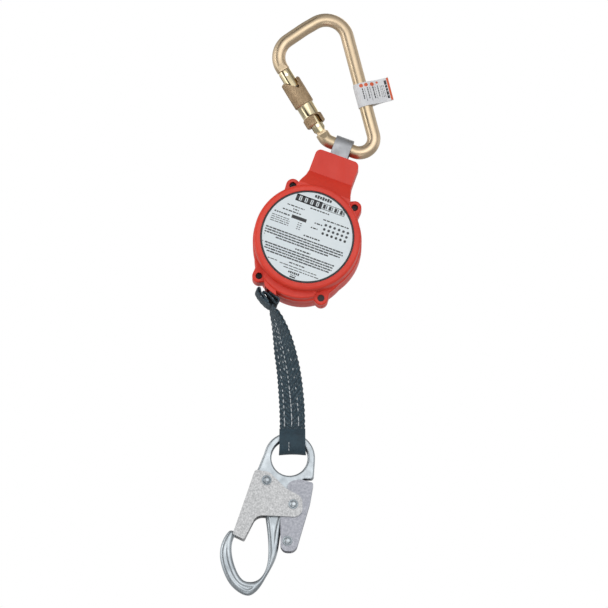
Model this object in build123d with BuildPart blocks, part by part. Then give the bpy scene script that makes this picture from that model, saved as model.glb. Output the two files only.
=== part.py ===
"""Self retracting lifeline: carabiner, load strap, drum housing, webbing and locking snap hook.

Frame: millimetres, X to the right, Z up, the front faces -Y. The origin is the inner top of the
carabiner's bow, where an anchor bears. The body hangs in one plane, and each assembly has a plane
of its own, with x across it, y along it and z towards the front.
"""

from build123d import *
from math import acos, atan2, cos, degrees, pi, radians, sin, sqrt
import os

os.makedirs("parts", exist_ok=True)

# Carabiner
ROD_D = 13.4
NOSE = (-46.5, -45.2)
HINGE_END = (-8.0, -109.2)
BOW_CORNERS = [(-58.5, -25.3), (-25.2, -2.4), (10.0, 18.4), (50.9, -139.1), (-3.6, -116.3)]
BOW_RADII = [21, 60, 22, 14.5, 12]
FACET_IN, FACET_OUT, FACET_LEN = 4.9, 7.4, 9.0
HINGE_PIN_Y, LATCH_PIN_Y = 8.0, 68.7
GATE_D = 13.5
SLEEVE_Y = (10.2, 20.0, 33.5, 62.2)
SLEEVE_NECK_D, SLEEVE_COLLAR_D = 17.6, 20.2
RUNNING_GAP = 0.08

# Housing, about its drum axle
AXLE = (-22.8, -219.9)
HOUSING_TILT = 20.2
STRAP_LOOP_Y = 103.0
HALF_DEPTH = 30.0
WALL = 2.5
DOME_R = 53.5
BODY_R = 54.5
FOOT_Y, FOOT_R = -14.3, 48.0
LABEL_R = 47.0
BOSSES = [(-33, 48), (33, 48), (-33, -50), (33, -50)]
BOSS_R = 6.8
LUG_DEPTH = 14.0
FLANGE_TOP = 8.0
NECK_HALF, NECK_DEPTH, NECK_TOP = 22.7, 13.0, 91.2
RAMP_TOP, RAMP_FOOT = 67.0, 56.0
NECK_CORNER = 5.5
STEP_DEPTH, STEP_HALF, STEP_R = 18.5, 27.0, 46.8
STRAP_W, STRAP_T = 18.0, 2.0
STRAP_LEG_Z = 22.8
DRUM_W = 26.0
FLANGE_T = 1.6
DRUM_FLANGE_R, DRUM_CORE_R, COIL_R = 44.0, 15.0, 41.5
AXLE_R = 5.0
MOUTH = (-16.7, -61.0)
GUIDE_T, GUIDE_SLOT = 5.6, 3.2
SPOUT_HALF, SPOUT_R, SPOUT_DEPTH = 5.2, 50.5, 17.0
COUNTERBORE_R, COUNTERBORE_DEPTH = 3.5, 4.0
SCREW_HEAD_R, SCREW_HEAD_T = 3.1, 1.9

# Webbing
WEB_W, WEB_T = 25.0, 1.6
SEWN_T = 4.0
TWIST = [  # height, centre across, angle of the width from the front-to-back direction
    (-291.0, -56.3, 12), (-299.0, -52.8, 27), (-314.0, -48.4, 43), (-330.0, -45.2, 55),
    (-352.0, -41.0, 63), (-380.0, -38.4, 77), (-395.6, -37.8, 86)]
BEND_Z = -396.4
WEB_X = -37.6

# Snap hook, about the centre of its eye
EYE = (-40.5, -439.2)
EYE_R, EYE_OUTER_R = 18.0, 25.5
HOOK_HALF_T = 5.0
GATE_PIVOT, TAIL_STUD, LEVER_PIVOT = (-22.7, -23.4), (3.8, -47.7), (-2.0, -84.3)
LEVER_IN, LEVER_OUT = 5.3, 7.0
PLATE_IN, PLATE_OUT = 7.3, 9.2


def along(start, end, distance):
    """The point that far from start towards end."""
    length = sqrt((end[0] - start[0]) ** 2 + (end[1] - start[1]) ** 2)
    share = distance / length
    return (start[0] + (end[0] - start[0]) * share, start[1] + (end[1] - start[1]) * share)


def facing(origin, tilt):
    """A plane facing the front at that point, turned clockwise by tilt degrees."""
    turn = radians(tilt)
    return Plane(origin=(origin[0], 0, origin[1]), x_dir=(cos(turn), 0, -sin(turn)), z_dir=(0, -1, 0))


FRONT = Plane.XZ
GATE_TILT = degrees(atan2(NOSE[0] - HINGE_END[0], NOSE[1] - HINGE_END[1]))
GATE_LEN = sqrt((NOSE[0] - HINGE_END[0]) ** 2 + (NOSE[1] - HINGE_END[1]) ** 2)
GATE = facing(HINGE_END, GATE_TILT)
GATE_AXIS = Axis(GATE.origin, GATE.y_dir)
GATE_SIDE = Plane(origin=GATE.origin, x_dir=(0, -1, 0), z_dir=-GATE.x_dir)
HOUSE = facing(AXLE, HOUSING_TILT)
HOUSE_SIDE = Plane(origin=HOUSE.origin, x_dir=(0, -1, 0), z_dir=-HOUSE.x_dir)
HOOK = facing(EYE, 0)
WEB_SIDE = Plane(origin=(WEB_X, 0, 0), x_dir=(0, -1, 0), z_dir=(-1, 0, 0))

# The webbing leaves the coil on a tangent that ends at the middle of the mouth.
MOUTH_AT = HOUSE.origin + HOUSE.x_dir * MOUTH[0] + HOUSE.y_dir * MOUTH[1]
LEAD_R = COIL_R + WEB_T / 2 + 0.2
TO_MOUTH = MOUTH_AT - HOUSE.origin
TANGENT_TURN = atan2(TO_MOUTH.Z, TO_MOUTH.X) - acos(LEAD_R / TO_MOUTH.length)
LEAD_TOP = HOUSE.origin + Vector(cos(TANGENT_TURN), 0, sin(TANGENT_TURN)) * LEAD_R
UP_LEAD = (LEAD_TOP - MOUTH_AT).normalized()
ACROSS_LEAD = UP_LEAD.cross(Vector(0, 1, 0))


def helix_wire(radius, wire_r, pitch, height, plane):
    """A coil spring of round wire that stands on the plane."""
    with BuildPart() as coil:
        with BuildLine() as path:
            Helix(pitch=pitch, height=height, radius=radius, center=plane.origin, direction=plane.z_dir)
        with BuildSketch(Plane(origin=path.line @ 0, z_dir=path.line % 0)):
            Circle(wire_r)
        sweep(is_frenet=True)
    return coil.part


# ---------------------------------------------------------------- carabiner
with BuildPart() as carabiner_body:
    with BuildLine(FRONT) as bow:
        FilletPolyline(NOSE, *BOW_CORNERS, HINGE_END, radius=BOW_RADII)
    with BuildSketch(Plane(origin=bow.line @ 0, z_dir=bow.line % 0)):
        Circle(ROD_D / 2)
    sweep()
    # The hinge knuckle, rounded about its pin.
    with BuildSketch(GATE):
        with Locations((0, HINGE_PIN_Y)):
            Circle(5)
        with Locations((0, HINGE_PIN_Y / 2 - 1)):
            Rectangle(9.4, HINGE_PIN_Y + 2)
    extrude(amount=2.75, both=True)
    # The nose tongue, with a catch that opens to the inside.
    with BuildSketch(GATE):
        with Locations((0, GATE_LEN - 4)):
            Rectangle(9.6, 10)
        with Locations((3.2, LATCH_PIN_Y - 0.3)):
            Rectangle(10, 4.6, mode=Mode.SUBTRACT)
    extrude(amount=2.25, both=True)
    with BuildSketch(GATE):
        with Locations((0, HINGE_PIN_Y)):
            Circle(1.55)
    extrude(amount=5, both=True, mode=Mode.SUBTRACT)
    # Sloping facets on the rod's front and back, where it thins towards the gate at both ends.
    for end, away in ((GATE_LEN, 1), (0, -1)):
        for face in (1, -1):
            with BuildSketch(GATE_SIDE):
                with BuildLine():
                    Polyline(
                        (face * FACET_IN, end - away * 4), (face * FACET_IN, end + away * 1.2),
                        (face * FACET_OUT, end + away * FACET_LEN), (face * 9, end + away * FACET_LEN),
                        (face * 9, end - away * 4), close=True)
                make_face()
            extrude(amount=ROD_D, both=True, mode=Mode.SUBTRACT)
carabiner_body.part.label = "carabiner_body"
export_step(carabiner_body.part, "parts/carabiner_body.step")

with BuildPart() as carabiner_gate:
    with BuildSketch(GATE):
        with Locations((0, (HINGE_PIN_Y + GATE_LEN - 1) / 2)):
            Rectangle(GATE_D, GATE_LEN - 1 - HINGE_PIN_Y)
        with Locations((0, HINGE_PIN_Y)):
            Circle(GATE_D / 2)
    extrude(amount=GATE_D / 2, both=True)
    with BuildSketch(Plane(origin=GATE.origin, z_dir=GATE.y_dir)):
        Circle(GATE_D / 2)
    extrude(amount=GATE_LEN, mode=Mode.INTERSECT)
    # The fork over the knuckle and the slot over the nose tongue.
    with BuildSketch(GATE):
        with Locations((0, 6.7)):
            Rectangle(GATE_D + 1, 13.4)
    extrude(amount=3.0, both=True, mode=Mode.SUBTRACT)
    with BuildSketch(GATE):
        with Locations((0, GATE_LEN - 5)):
            Rectangle(GATE_D + 1, 11.4)
    extrude(amount=2.6, both=True, mode=Mode.SUBTRACT)
    with BuildSketch(Plane(origin=GATE.origin + GATE.y_dir * 13, z_dir=GATE.y_dir)):
        Circle(2.6)
    extrude(amount=25, mode=Mode.SUBTRACT)
    with BuildSketch(GATE):
        with Locations((0, HINGE_PIN_Y), (0, LATCH_PIN_Y)):
            Circle(1.5)
    extrude(amount=GATE_D, both=True, mode=Mode.SUBTRACT)
carabiner_gate.part.label = "carabiner_gate"
export_step(carabiner_gate.part, "parts/carabiner_gate.step")


def cross_pin(y, radius, half):
    """A plain pin across the gate, front to back."""
    with BuildPart() as pin:
        with BuildSketch(GATE):
            with Locations((0, y)):
                Circle(radius)
        extrude(amount=half, both=True)
    return pin.part


gate_hinge_pin = cross_pin(HINGE_PIN_Y, 1.5, 6.5)
gate_hinge_pin.label = "gate_hinge_pin"
export_step(gate_hinge_pin, "parts/gate_hinge_pin.step")
gate_latch_pin = cross_pin(LATCH_PIN_Y, 1.5, 6.5)
gate_latch_pin.label = "gate_latch_pin"
export_step(gate_latch_pin, "parts/gate_latch_pin.step")

with BuildPart() as gate_plunger:
    with BuildSketch(Plane(origin=GATE.origin + GATE.y_dir * 13.5, z_dir=GATE.y_dir)):
        Circle(2.5)
    extrude(amount=7)
gate_plunger.part.label = "gate_plunger"
export_step(gate_plunger.part, "parts/gate_plunger.step")

gate_spring = helix_wire(
    1.9, 0.35, 1.9, 15.2, Plane(origin=GATE.origin + GATE.y_dir * 21.4, z_dir=GATE.y_dir))
gate_spring.label = "gate_spring"
export_step(gate_spring, "parts/gate_spring.step")

low, low_top, high, high_top = SLEEVE_Y
BORE_R = GATE_D / 2 + RUNNING_GAP
with BuildPart() as lock_sleeve:
    with BuildSketch(GATE):
        with BuildLine():
            Polyline(
                (BORE_R, low), (SLEEVE_COLLAR_D / 2 - 0.8, low), (SLEEVE_COLLAR_D / 2, low + 0.8),
                (SLEEVE_COLLAR_D / 2, low_top - 0.8), (SLEEVE_NECK_D / 2, low_top),
                (SLEEVE_NECK_D / 2, high), (SLEEVE_COLLAR_D / 2, high + 0.8),
                (SLEEVE_COLLAR_D / 2, high_top - 0.8), (SLEEVE_COLLAR_D / 2 - 0.8, high_top),
                (BORE_R, high_top), (BORE_R, high_top - 5), (8.4, high_top - 5),
                (8.4, high + 1), (BORE_R, high + 1), close=True)
        make_face()
    revolve(axis=GATE_AXIS)
    # The stepped top edge, and the release slot in the lower collar.
    with BuildSketch(GATE):
        with Locations((-6.5, high_top)):
            Rectangle(9, 5)
    extrude(amount=14, mode=Mode.SUBTRACT)
    with BuildSketch(GATE):
        with Locations((2.4, low)):
            SlotOverall(11, 3.4, rotation=90)
    extrude(amount=14, mode=Mode.SUBTRACT)
lock_sleeve.part.label = "lock_sleeve"
export_step(lock_sleeve.part, "parts/lock_sleeve.step")

sleeve_spring = helix_wire(
    7.65, 0.5, 2.6, 19, Plane(origin=GATE.origin + GATE.y_dir * (high + 2.2), z_dir=GATE.y_dir))
sleeve_spring.label = "sleeve_spring"
export_step(sleeve_spring, "parts/sleeve_spring.step")

SPINE_TOP, SPINE_BOTTOM = BOW_CORNERS[2], BOW_CORNERS[3]
TAG_AT = along(SPINE_TOP, SPINE_BOTTOM, 92)
SPINE_DIR = Vector(SPINE_BOTTOM[0] - SPINE_TOP[0], 0, SPINE_BOTTOM[1] - SPINE_TOP[1]).normalized()
TAG = Plane(origin=(TAG_AT[0], 0, TAG_AT[1]), x_dir=SPINE_DIR.cross(Vector(0, 1, 0)), z_dir=SPINE_DIR)
with BuildPart() as carabiner_tag:
    with BuildSketch(TAG):
        with BuildLine():
            CenterArc((0, 0), 7.5, 0, 360)
            CenterArc((29, 0), 0.7, 0, 360)
        make_hull()
    extrude(amount=12, both=True)
    with BuildSketch(TAG):
        with BuildLine():
            CenterArc((0, 0), 7.0, 0, 360)
            CenterArc((28, 0), 0.2, 0, 360)
        make_hull()
    extrude(amount=13, both=True, mode=Mode.SUBTRACT)
carabiner_tag.part.label = "carabiner_tag"
export_step(carabiner_tag.part, "parts/carabiner_tag.step")

# ---------------------------------------------------------------- housing
LEG_OUT = STRAP_LEG_Z + STRAP_T
LOOP_IN = ROD_D / 2 + 0.9
with BuildPart() as load_strap:
    for reach, sign, mode in ((LOOP_IN + STRAP_T, 1, Mode.ADD), (LOOP_IN, -1, Mode.SUBTRACT)):
        leg = STRAP_LEG_Z if sign < 0 else LEG_OUT
        foot = -13 if sign > 0 else -20
        bend = 0.8 if sign > 0 else 0
        with BuildSketch(HOUSE_SIDE):
            with Locations((0, STRAP_LOOP_Y)):
                Circle(reach)
            with BuildLine():
                Polyline(
                    (reach, STRAP_LOOP_Y), (reach, 67 + bend), (leg, 45 + bend), (leg, foot),
                    (-leg, foot), (-leg, 45 + bend), (-reach, 67 + bend), (-reach, STRAP_LOOP_Y),
                    close=True)
            make_face()
        extrude(amount=STRAP_W / 2 + (0 if sign > 0 else 2), both=True, mode=mode)
    with BuildSketch(HOUSE):
        Circle(4.0)
    extrude(amount=HALF_DEPTH, both=True, mode=Mode.SUBTRACT)
load_strap.part.label = "load_strap"
export_step(load_strap.part, "parts/load_strap.step")


def body_outline():
    """The round body with its deeper foot."""
    with BuildSketch(HOUSE) as outline:
        Circle(BODY_R)
        with Locations((0, FOOT_Y)):
            Circle(FOOT_R)
    return outline.sketch


def lug_outline(x, y):
    """One screw lobe, tapering into the body."""
    with BuildSketch(HOUSE) as outline:
        with BuildLine():
            CenterArc((x, y), BOSS_R, 0, 360)
            CenterArc((x * 0.55, y * 0.55), 20, 0, 360)
        make_hull()
    return outline.sketch


def mouth_spout():
    """The short spout that stands out of the foot round the webbing."""
    corners = [MOUTH_AT + UP_LEAD * up + ACROSS_LEAD * across
               for up, across in ((-8, -SPOUT_HALF), (30, -SPOUT_HALF), (30, SPOUT_HALF), (-8, SPOUT_HALF))]
    with BuildSketch(HOUSE) as outline:
        Polygon(*[tuple(HOUSE.to_local_coords(corner))[:2] for corner in corners], align=None)
        with Locations((0, FOOT_Y)):
            Circle(SPOUT_R, mode=Mode.INTERSECT)
    return outline.sketch


def foot_step():
    """The deeper step in front of the foot, between the two lower screws."""
    with BuildSketch(HOUSE) as outline:
        with Locations((0, -50)):
            RectangleRounded(2 * STEP_HALF, 50, 4)
        with Locations((0, FOOT_Y)):
            Circle(STEP_R, mode=Mode.INTERSECT)
    return outline.sketch


def neck_side(grow, top):
    """The neck seen from the side, from the joint plane to the front."""
    with BuildSketch(HOUSE_SIDE) as outline:
        with BuildLine():
            Polyline((0, 30), (27.5 + grow, 30), (27.5 + grow, 51), (23 + grow, RAMP_FOOT),
                     (NECK_DEPTH + grow, RAMP_TOP), (NECK_DEPTH + grow, top), (0, top), close=True)
        make_face()
    return outline.sketch


def neck_front(grow, top):
    """The neck seen from the front, flaring into the shoulders of the body."""
    half = NECK_HALF + grow
    with BuildSketch(HOUSE) as outline:
        with BuildLine():
            Polyline((-half, top - NECK_CORNER), (-half, 68), (-half - 1, 61), (-half - 4, 53),
                     (-half - 6, 43), (half + 6, 43), (half + 4, 53), (half + 1, 61), (half, 68),
                     (half, top - NECK_CORNER))
            RadiusArc((half, top - NECK_CORNER), (half - NECK_CORNER, top), -NECK_CORNER)
            Line((half - NECK_CORNER, top), (-half + NECK_CORNER, top))
            RadiusArc((-half + NECK_CORNER, top), (-half, top - NECK_CORNER), -NECK_CORNER)
        make_face()
    return outline.sketch


def neck_solid(grow, top):
    """The front half of the neck, grown or shrunk all round."""
    with BuildPart() as neck:
        extrude(neck_side(grow, top), amount=60, both=True)
        extrude(neck_front(grow, top), amount=HALF_DEPTH, mode=Mode.INTERSECT)
    return neck.part


def strap_passage():
    """The way out of the neck for the strap's loop."""
    with BuildPart() as way:
        with BuildSketch(HOUSE_SIDE):
            with Locations((0, NECK_TOP)):
                Rectangle(2 * (LOOP_IN + STRAP_T + 0.5), 18)
        extrude(amount=STRAP_W / 2 + 0.8, both=True)
    return way.part


def across_mouth(up):
    """A plane square to the webbing, that far up from the mouth, facing down."""
    return Plane(origin=MOUTH_AT + UP_LEAD * up, x_dir=ACROSS_LEAD, z_dir=-UP_LEAD)


def mouth_passage():
    """The way out of the foot for the webbing and its guide."""
    with BuildPart() as way:
        with BuildSketch(across_mouth(26)):
            Rectangle(GUIDE_T + 0.2, WEB_W + 3.4)
        extrude(amount=40)
    return way.part


def cover(front):
    """One half of the housing: flange, dome, neck, screw lobes and hollow."""
    neck, inner = neck_solid(0, NECK_TOP), neck_solid(-WALL, NECK_TOP - WALL)
    if not front:
        neck, inner = mirror(neck, about=HOUSE), mirror(inner, about=HOUSE)
    with BuildPart() as shell:
        extrude(body_outline(), amount=FLANGE_TOP if front else -HALF_DEPTH)
        for x, y in BOSSES:
            extrude(lug_outline(x, y), amount=FLANGE_TOP if front else -LUG_DEPTH)
        outer = shell.faces().sort_by(Axis(HOUSE.origin, HOUSE.z_dir))[-1 if front else 0]
        chamfer(outer.edges(), 1.2 if front else 2.5)
        if front:
            extrude(foot_step(), amount=STEP_DEPTH)
            step = shell.faces().sort_by(Axis(HOUSE.origin, HOUSE.z_dir))[-1]
            fillet(step.edges(), 1.6)
            with BuildSketch(HOUSE):
                Circle(DOME_R)
            extrude(amount=HALF_DEPTH)
            rim = shell.edges().filter_by(GeomType.CIRCLE)
            fillet(rim.sort_by(Axis(HOUSE.origin, HOUSE.z_dir))[-1], 3.0)
            with BuildSketch(HOUSE.offset(HALF_DEPTH)):
                Circle(LABEL_R + 0.4)
            extrude(amount=-0.8, mode=Mode.SUBTRACT)
        extrude(mouth_spout(), amount=SPOUT_DEPTH * (1 if front else -1))
        add(neck)
        with BuildSketch(HOUSE):
            Circle(DOME_R - WALL)
        extrude(amount=(HALF_DEPTH - WALL) * (1 if front else -1), mode=Mode.SUBTRACT)
        add(inner, mode=Mode.SUBTRACT)
        add(strap_passage(), mode=Mode.SUBTRACT)
        add(mouth_passage(), mode=Mode.SUBTRACT)
        with BuildSketch(HOUSE.offset(FLANGE_TOP)):
            with Locations(*BOSSES):
                Circle(2.2)
        extrude(amount=-FLANGE_TOP - (0 if front else LUG_DEPTH - 2), mode=Mode.SUBTRACT)
        if front:
            with BuildSketch(HOUSE.offset(FLANGE_TOP)):
                with Locations(*BOSSES):
                    Circle(COUNTERBORE_R)
            extrude(amount=-COUNTERBORE_DEPTH, mode=Mode.SUBTRACT)
    return shell.part


front_cover = cover(True)
front_cover.label = "front_cover"
export_step(front_cover, "parts/front_cover.step")
rear_cover = cover(False)
rear_cover.label = "rear_cover"
export_step(rear_cover, "parts/rear_cover.step")

HEAD_SEAT = FLANGE_TOP - COUNTERBORE_DEPTH
with BuildPart() as cover_screws:
    with BuildSketch(HOUSE.offset(HEAD_SEAT)):
        with Locations(*BOSSES):
            Circle(SCREW_HEAD_R)
    extrude(amount=SCREW_HEAD_T)
    chamfer(cover_screws.faces().sort_by(Axis(HOUSE.origin, HOUSE.z_dir))[-4:].edges(), 0.6)
    with BuildSketch(HOUSE.offset(HEAD_SEAT + SCREW_HEAD_T)):
        with Locations(*BOSSES):
            Rectangle(3.8, 0.8)
            Rectangle(0.8, 3.8)
    extrude(amount=-1.2, mode=Mode.SUBTRACT)
    with BuildSketch(HOUSE.offset(HEAD_SEAT)):
        with Locations(*BOSSES):
            Circle(2.0)
    extrude(amount=-HEAD_SEAT - LUG_DEPTH + 3)
cover_screws.part.label = "cover_screws"
export_step(cover_screws.part, "parts/cover_screws.step")

# A plug seals the counterbore of the last screw.
with BuildPart() as screw_plug:
    with BuildSketch(HOUSE.offset(HEAD_SEAT + SCREW_HEAD_T + 0.1)):
        with Locations(BOSSES[-1]):
            Circle(COUNTERBORE_R - 0.05)
    extrude(amount=COUNTERBORE_DEPTH - SCREW_HEAD_T + 0.4)
    fillet(screw_plug.faces().sort_by(Axis(HOUSE.origin, HOUSE.z_dir))[-1].edges(), 0.5)
screw_plug.part.label = "screw_plug"
export_step(screw_plug.part, "parts/screw_plug.step")

with BuildPart() as label_plate:
    with BuildSketch(HOUSE.offset(HALF_DEPTH - 0.8)):
        Circle(LABEL_R)
    extrude(amount=0.6)
label_plate.part.label = "label_plate"
export_step(label_plate.part, "parts/label_plate.step")

# The mouth's liner, a slotted bush that the webbing slides through.
with BuildPart() as webbing_guide:
    with BuildSketch(across_mouth(14)):
        RectangleRounded(GUIDE_T, WEB_W + 3.2, 1.5)
        RectangleRounded(GUIDE_SLOT, WEB_W + 1.4, 1.2, mode=Mode.SUBTRACT)
    extrude(amount=7)
webbing_guide.part.label = "webbing_guide"
export_step(webbing_guide.part, "parts/webbing_guide.step")


def ring(inner_r, outer_r, base, height):
    """A flat ring about the drum's axle, from base towards the front."""
    with BuildPart() as made:
        with BuildSketch(HOUSE.offset(base)):
            Circle(outer_r)
            if inner_r:
                Circle(inner_r, mode=Mode.SUBTRACT)
        extrude(amount=height)
    return made.part


HALF_DRUM = DRUM_W / 2
with BuildPart() as axle:
    with BuildSketch(HOUSE.offset(-STRAP_LEG_Z + 0.2)):
        Circle(AXLE_R)
    extrude(amount=2 * STRAP_LEG_Z - 0.4)
    with BuildSketch(HOUSE.offset(-LEG_OUT - 2.2)):
        Circle(3.95)
    extrude(amount=2 * (LEG_OUT + 2.2))
axle.part.label = "axle"
export_step(axle.part, "parts/axle.step")

with BuildPart() as axle_nuts:
    for base in (LEG_OUT + 0.05, -LEG_OUT - 2.05):
        with BuildSketch(HOUSE.offset(base)):
            RegularPolygon(7, 6)
            Circle(4.0, mode=Mode.SUBTRACT)
        extrude(amount=2.0)
axle_nuts.part.label = "axle_nuts"
export_step(axle_nuts.part, "parts/axle_nuts.step")

with BuildPart() as drum_bushings:
    for base in (-HALF_DRUM - 1, HALF_DRUM - 7):
        with BuildSketch(HOUSE.offset(base)):
            Circle(AXLE_R + 2)
            Circle(AXLE_R + RUNNING_GAP, mode=Mode.SUBTRACT)
        extrude(amount=8)
drum_bushings.part.label = "drum_bushings"
export_step(drum_bushings.part, "parts/drum_bushings.step")

with BuildPart() as drum_core:
    with BuildSketch(HOUSE.offset(-HALF_DRUM)):
        Circle(DRUM_CORE_R)
        Circle(AXLE_R + 2, mode=Mode.SUBTRACT)
        with Locations((DRUM_CORE_R - 3.5, 0)):
            Circle(2.05, mode=Mode.SUBTRACT)
    extrude(amount=DRUM_W)
drum_core.part.label = "drum_core"
export_step(drum_core.part, "parts/drum_core.step")

with BuildPart() as webbing_anchor_pin:
    with BuildSketch(HOUSE.offset(-HALF_DRUM)):
        with Locations((DRUM_CORE_R - 3.5, 0)):
            Circle(2)
    extrude(amount=DRUM_W)
webbing_anchor_pin.part.label = "webbing_anchor_pin"
export_step(webbing_anchor_pin.part, "parts/webbing_anchor_pin.step")

for name, base in (("drum_rear_flange", -HALF_DRUM - FLANGE_T), ("drum_front_flange", HALF_DRUM)):
    with BuildPart() as flange:
        with BuildSketch(HOUSE.offset(base)):
            Circle(DRUM_FLANGE_R)
            Circle(AXLE_R + 2, mode=Mode.SUBTRACT)
            with PolarLocations(28, 6):
                Circle(4, mode=Mode.SUBTRACT)
        extrude(amount=FLANGE_T)
    flange.part.label = name
    export_step(flange.part, f"parts/{name}.step")

webbing_coil = ring(DRUM_CORE_R, COIL_R, -WEB_W / 2, WEB_W)
webbing_coil.label = "webbing_coil"
export_step(webbing_coil, "parts/webbing_coil.step")

SPRING_BASE = -STRAP_LEG_Z + 1.0
with BuildPart() as spring_cup:
    with BuildSketch(HOUSE.offset(-HALF_DRUM - FLANGE_T)):
        Circle(35)
        Circle(33.6, mode=Mode.SUBTRACT)
    extrude(amount=-6.6)
spring_cup.part.label = "spring_cup"
export_step(spring_cup.part, "parts/spring_cup.step")


def spiral_points(shift, turns, inner_r, outer_r):
    """Points along a flat spiral, moved out by shift."""
    steps = turns * 16
    return [
        ((inner_r + (outer_r - inner_r) * k / steps + shift) * cos(2 * pi * k / 16),
         (inner_r + (outer_r - inner_r) * k / steps + shift) * sin(2 * pi * k / 16))
        for k in range(steps + 1)]


with BuildPart() as recoil_spring:
    with BuildSketch(HOUSE.offset(SPRING_BASE)):
        with BuildLine():
            inner_edge = Spline(*spiral_points(0, 8, 8.0, 32.6))
            outer_edge = Spline(*spiral_points(0.6, 8, 8.0, 32.6))
            Line(inner_edge @ 0, outer_edge @ 0)
            Line(inner_edge @ 1, outer_edge @ 1)
        make_face()
    extrude(amount=6)
recoil_spring.part.label = "recoil_spring"
export_step(recoil_spring.part, "parts/recoil_spring.step")

spring_arbor = ring(AXLE_R, 7.9, SPRING_BASE, 6)
spring_arbor.label = "spring_arbor"
export_step(spring_arbor, "parts/spring_arbor.step")

# ---------------------------------------------------------------- brake
PAWL_BASE = HALF_DRUM + FLANGE_T + 0.3
PAWL_T = 2.2
PAWL_PIVOTS = [(0, 24), (0, -24)]
RATCHET_TIP_R, RATCHET_OUTER_R, RATCHET_TEETH = 38.0, 43.0, 12

with BuildPart() as ratchet_ring:
    with BuildSketch(HOUSE.offset(PAWL_BASE)):
        Circle(RATCHET_OUTER_R)
        Circle(RATCHET_TIP_R + 2.6, mode=Mode.SUBTRACT)
        with PolarLocations(RATCHET_TIP_R, RATCHET_TEETH):
            Polygon((0, -1.5), (3.4, -3.5), (3.4, 5.0), align=None)
    extrude(amount=PAWL_T)
    with BuildSketch(HOUSE.offset(PAWL_BASE + PAWL_T)):
        Circle(RATCHET_OUTER_R)
        Circle(AXLE_R + 0.3, mode=Mode.SUBTRACT)
        with PolarLocations(27, 8):
            Circle(5, mode=Mode.SUBTRACT)
    extrude(amount=1.4)
ratchet_ring.part.label = "ratchet_ring"
export_step(ratchet_ring.part, "parts/ratchet_ring.step")

BRAKE_BASE = PAWL_BASE + PAWL_T + 1.4
brake_disc = ring(AXLE_R + 0.3, 17, BRAKE_BASE + 0.05, 1.2)
brake_disc.label = "brake_disc"
export_step(brake_disc, "parts/brake_disc.step")
pressure_plate = ring(AXLE_R + 0.3, 16, BRAKE_BASE + 1.3, 1.0)
pressure_plate.label = "pressure_plate"
export_step(pressure_plate, "parts/pressure_plate.step")
with BuildPart() as disc_spring:
    with BuildSketch(HOUSE_SIDE):
        with BuildLine():
            base = BRAKE_BASE + 2.35
            Polyline((base, 13), (base + 0.8, 13), (base + 1.5, 6), (base + 0.7, 6), close=True)
        make_face()
    revolve(axis=Axis(HOUSE.origin, HOUSE.z_dir))
disc_spring.part.label = "disc_spring"
export_step(disc_spring.part, "parts/disc_spring.step")

for number, (x, y) in enumerate(PAWL_PIVOTS, 1):
    side = 1 if y > 0 else -1
    with BuildPart() as pawl:
        with BuildSketch(HOUSE.offset(PAWL_BASE)):
            with BuildLine():
                CenterArc((x, y), 4.5, 0, 360)
                CenterArc((x + 19 * side, y + side), 1.6, 0, 360)
            make_hull()
            with Locations((x, y)):
                Circle(2.08, mode=Mode.SUBTRACT)
        extrude(amount=PAWL_T - 0.3)
    pawl.part.label = f"pawl_{number}"
    export_step(pawl.part, f"parts/pawl_{number}.step")

with BuildPart() as pawl_pins:
    with BuildSketch(HOUSE.offset(HALF_DRUM + FLANGE_T)):
        with Locations(*PAWL_PIVOTS):
            Circle(2)
    extrude(amount=PAWL_T + 0.2)
pawl_pins.part.label = "pawl_pins"
export_step(pawl_pins.part, "parts/pawl_pins.step")

# ---------------------------------------------------------------- webbing
MOUTH_X, MOUTH_Z = MOUTH_AT.X, MOUTH_AT.Z
with BuildPart() as webbing_lead:
    with BuildSketch(Plane.XZ):
        with BuildLine():
            Polyline(
                (LEAD_TOP.X - WEB_T / 2, LEAD_TOP.Z), (LEAD_TOP.X + WEB_T / 2, LEAD_TOP.Z),
                (MOUTH_X + WEB_T / 2, MOUTH_Z - 2), (MOUTH_X - WEB_T / 2, MOUTH_Z - 2), close=True)
        make_face()
    extrude(amount=WEB_W / 2, both=True)
webbing_lead.part.label = "webbing_lead"
export_step(webbing_lead.part, "parts/webbing_lead.step")

with BuildPart() as stop_fold:
    with BuildSketch(Plane.XZ):
        with BuildLine():
            CenterArc((MOUTH_X - 4.5, MOUTH_Z - 7.5), 4.5, 0, 360)
            CenterArc((MOUTH_X + 1.0, MOUTH_Z - 7.5), 3.5, 0, 360)
            CenterArc((-57.4, -287.0), 2.4, 0, 360)
        make_hull()
    extrude(amount=WEB_W / 2, both=True)
stop_fold.part.label = "stop_fold"
export_step(stop_fold.part, "parts/stop_fold.step")

with BuildPart() as lifeline_webbing:
    for height, centre, angle in TWIST:
        turn = radians(angle)
        across = Vector(sin(turn), -cos(turn), 0)
        with BuildSketch(Plane(origin=(centre, 0, height), x_dir=across, z_dir=(0, 0, -1))):
            Rectangle(WEB_W, SEWN_T)
    loft(ruled=True)
lifeline_webbing.part.label = "lifeline_webbing"
export_step(lifeline_webbing.part, "parts/lifeline_webbing.step")

EYE_BAR_Z = EYE[1] + (EYE_R + EYE_OUTER_R) / 2
BIGHT_Z, BIGHT_R = EYE[1] + 13.0, 7.4
SLEEVE_TOP_Z = -410.5


def loop_section(reach, top_z, top_r):
    """The filled side view of the loop: round the bight and the eye's bar, up to a top circle."""
    with BuildSketch(WEB_SIDE) as section:
        with BuildLine():
            CenterArc((0, BIGHT_Z), BIGHT_R + reach, 0, 360)
            CenterArc((0, EYE_BAR_Z), BIGHT_R + reach, 0, 360)
            CenterArc((0, top_z), top_r, 0, 360)
        make_hull()
    return section.sketch


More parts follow.
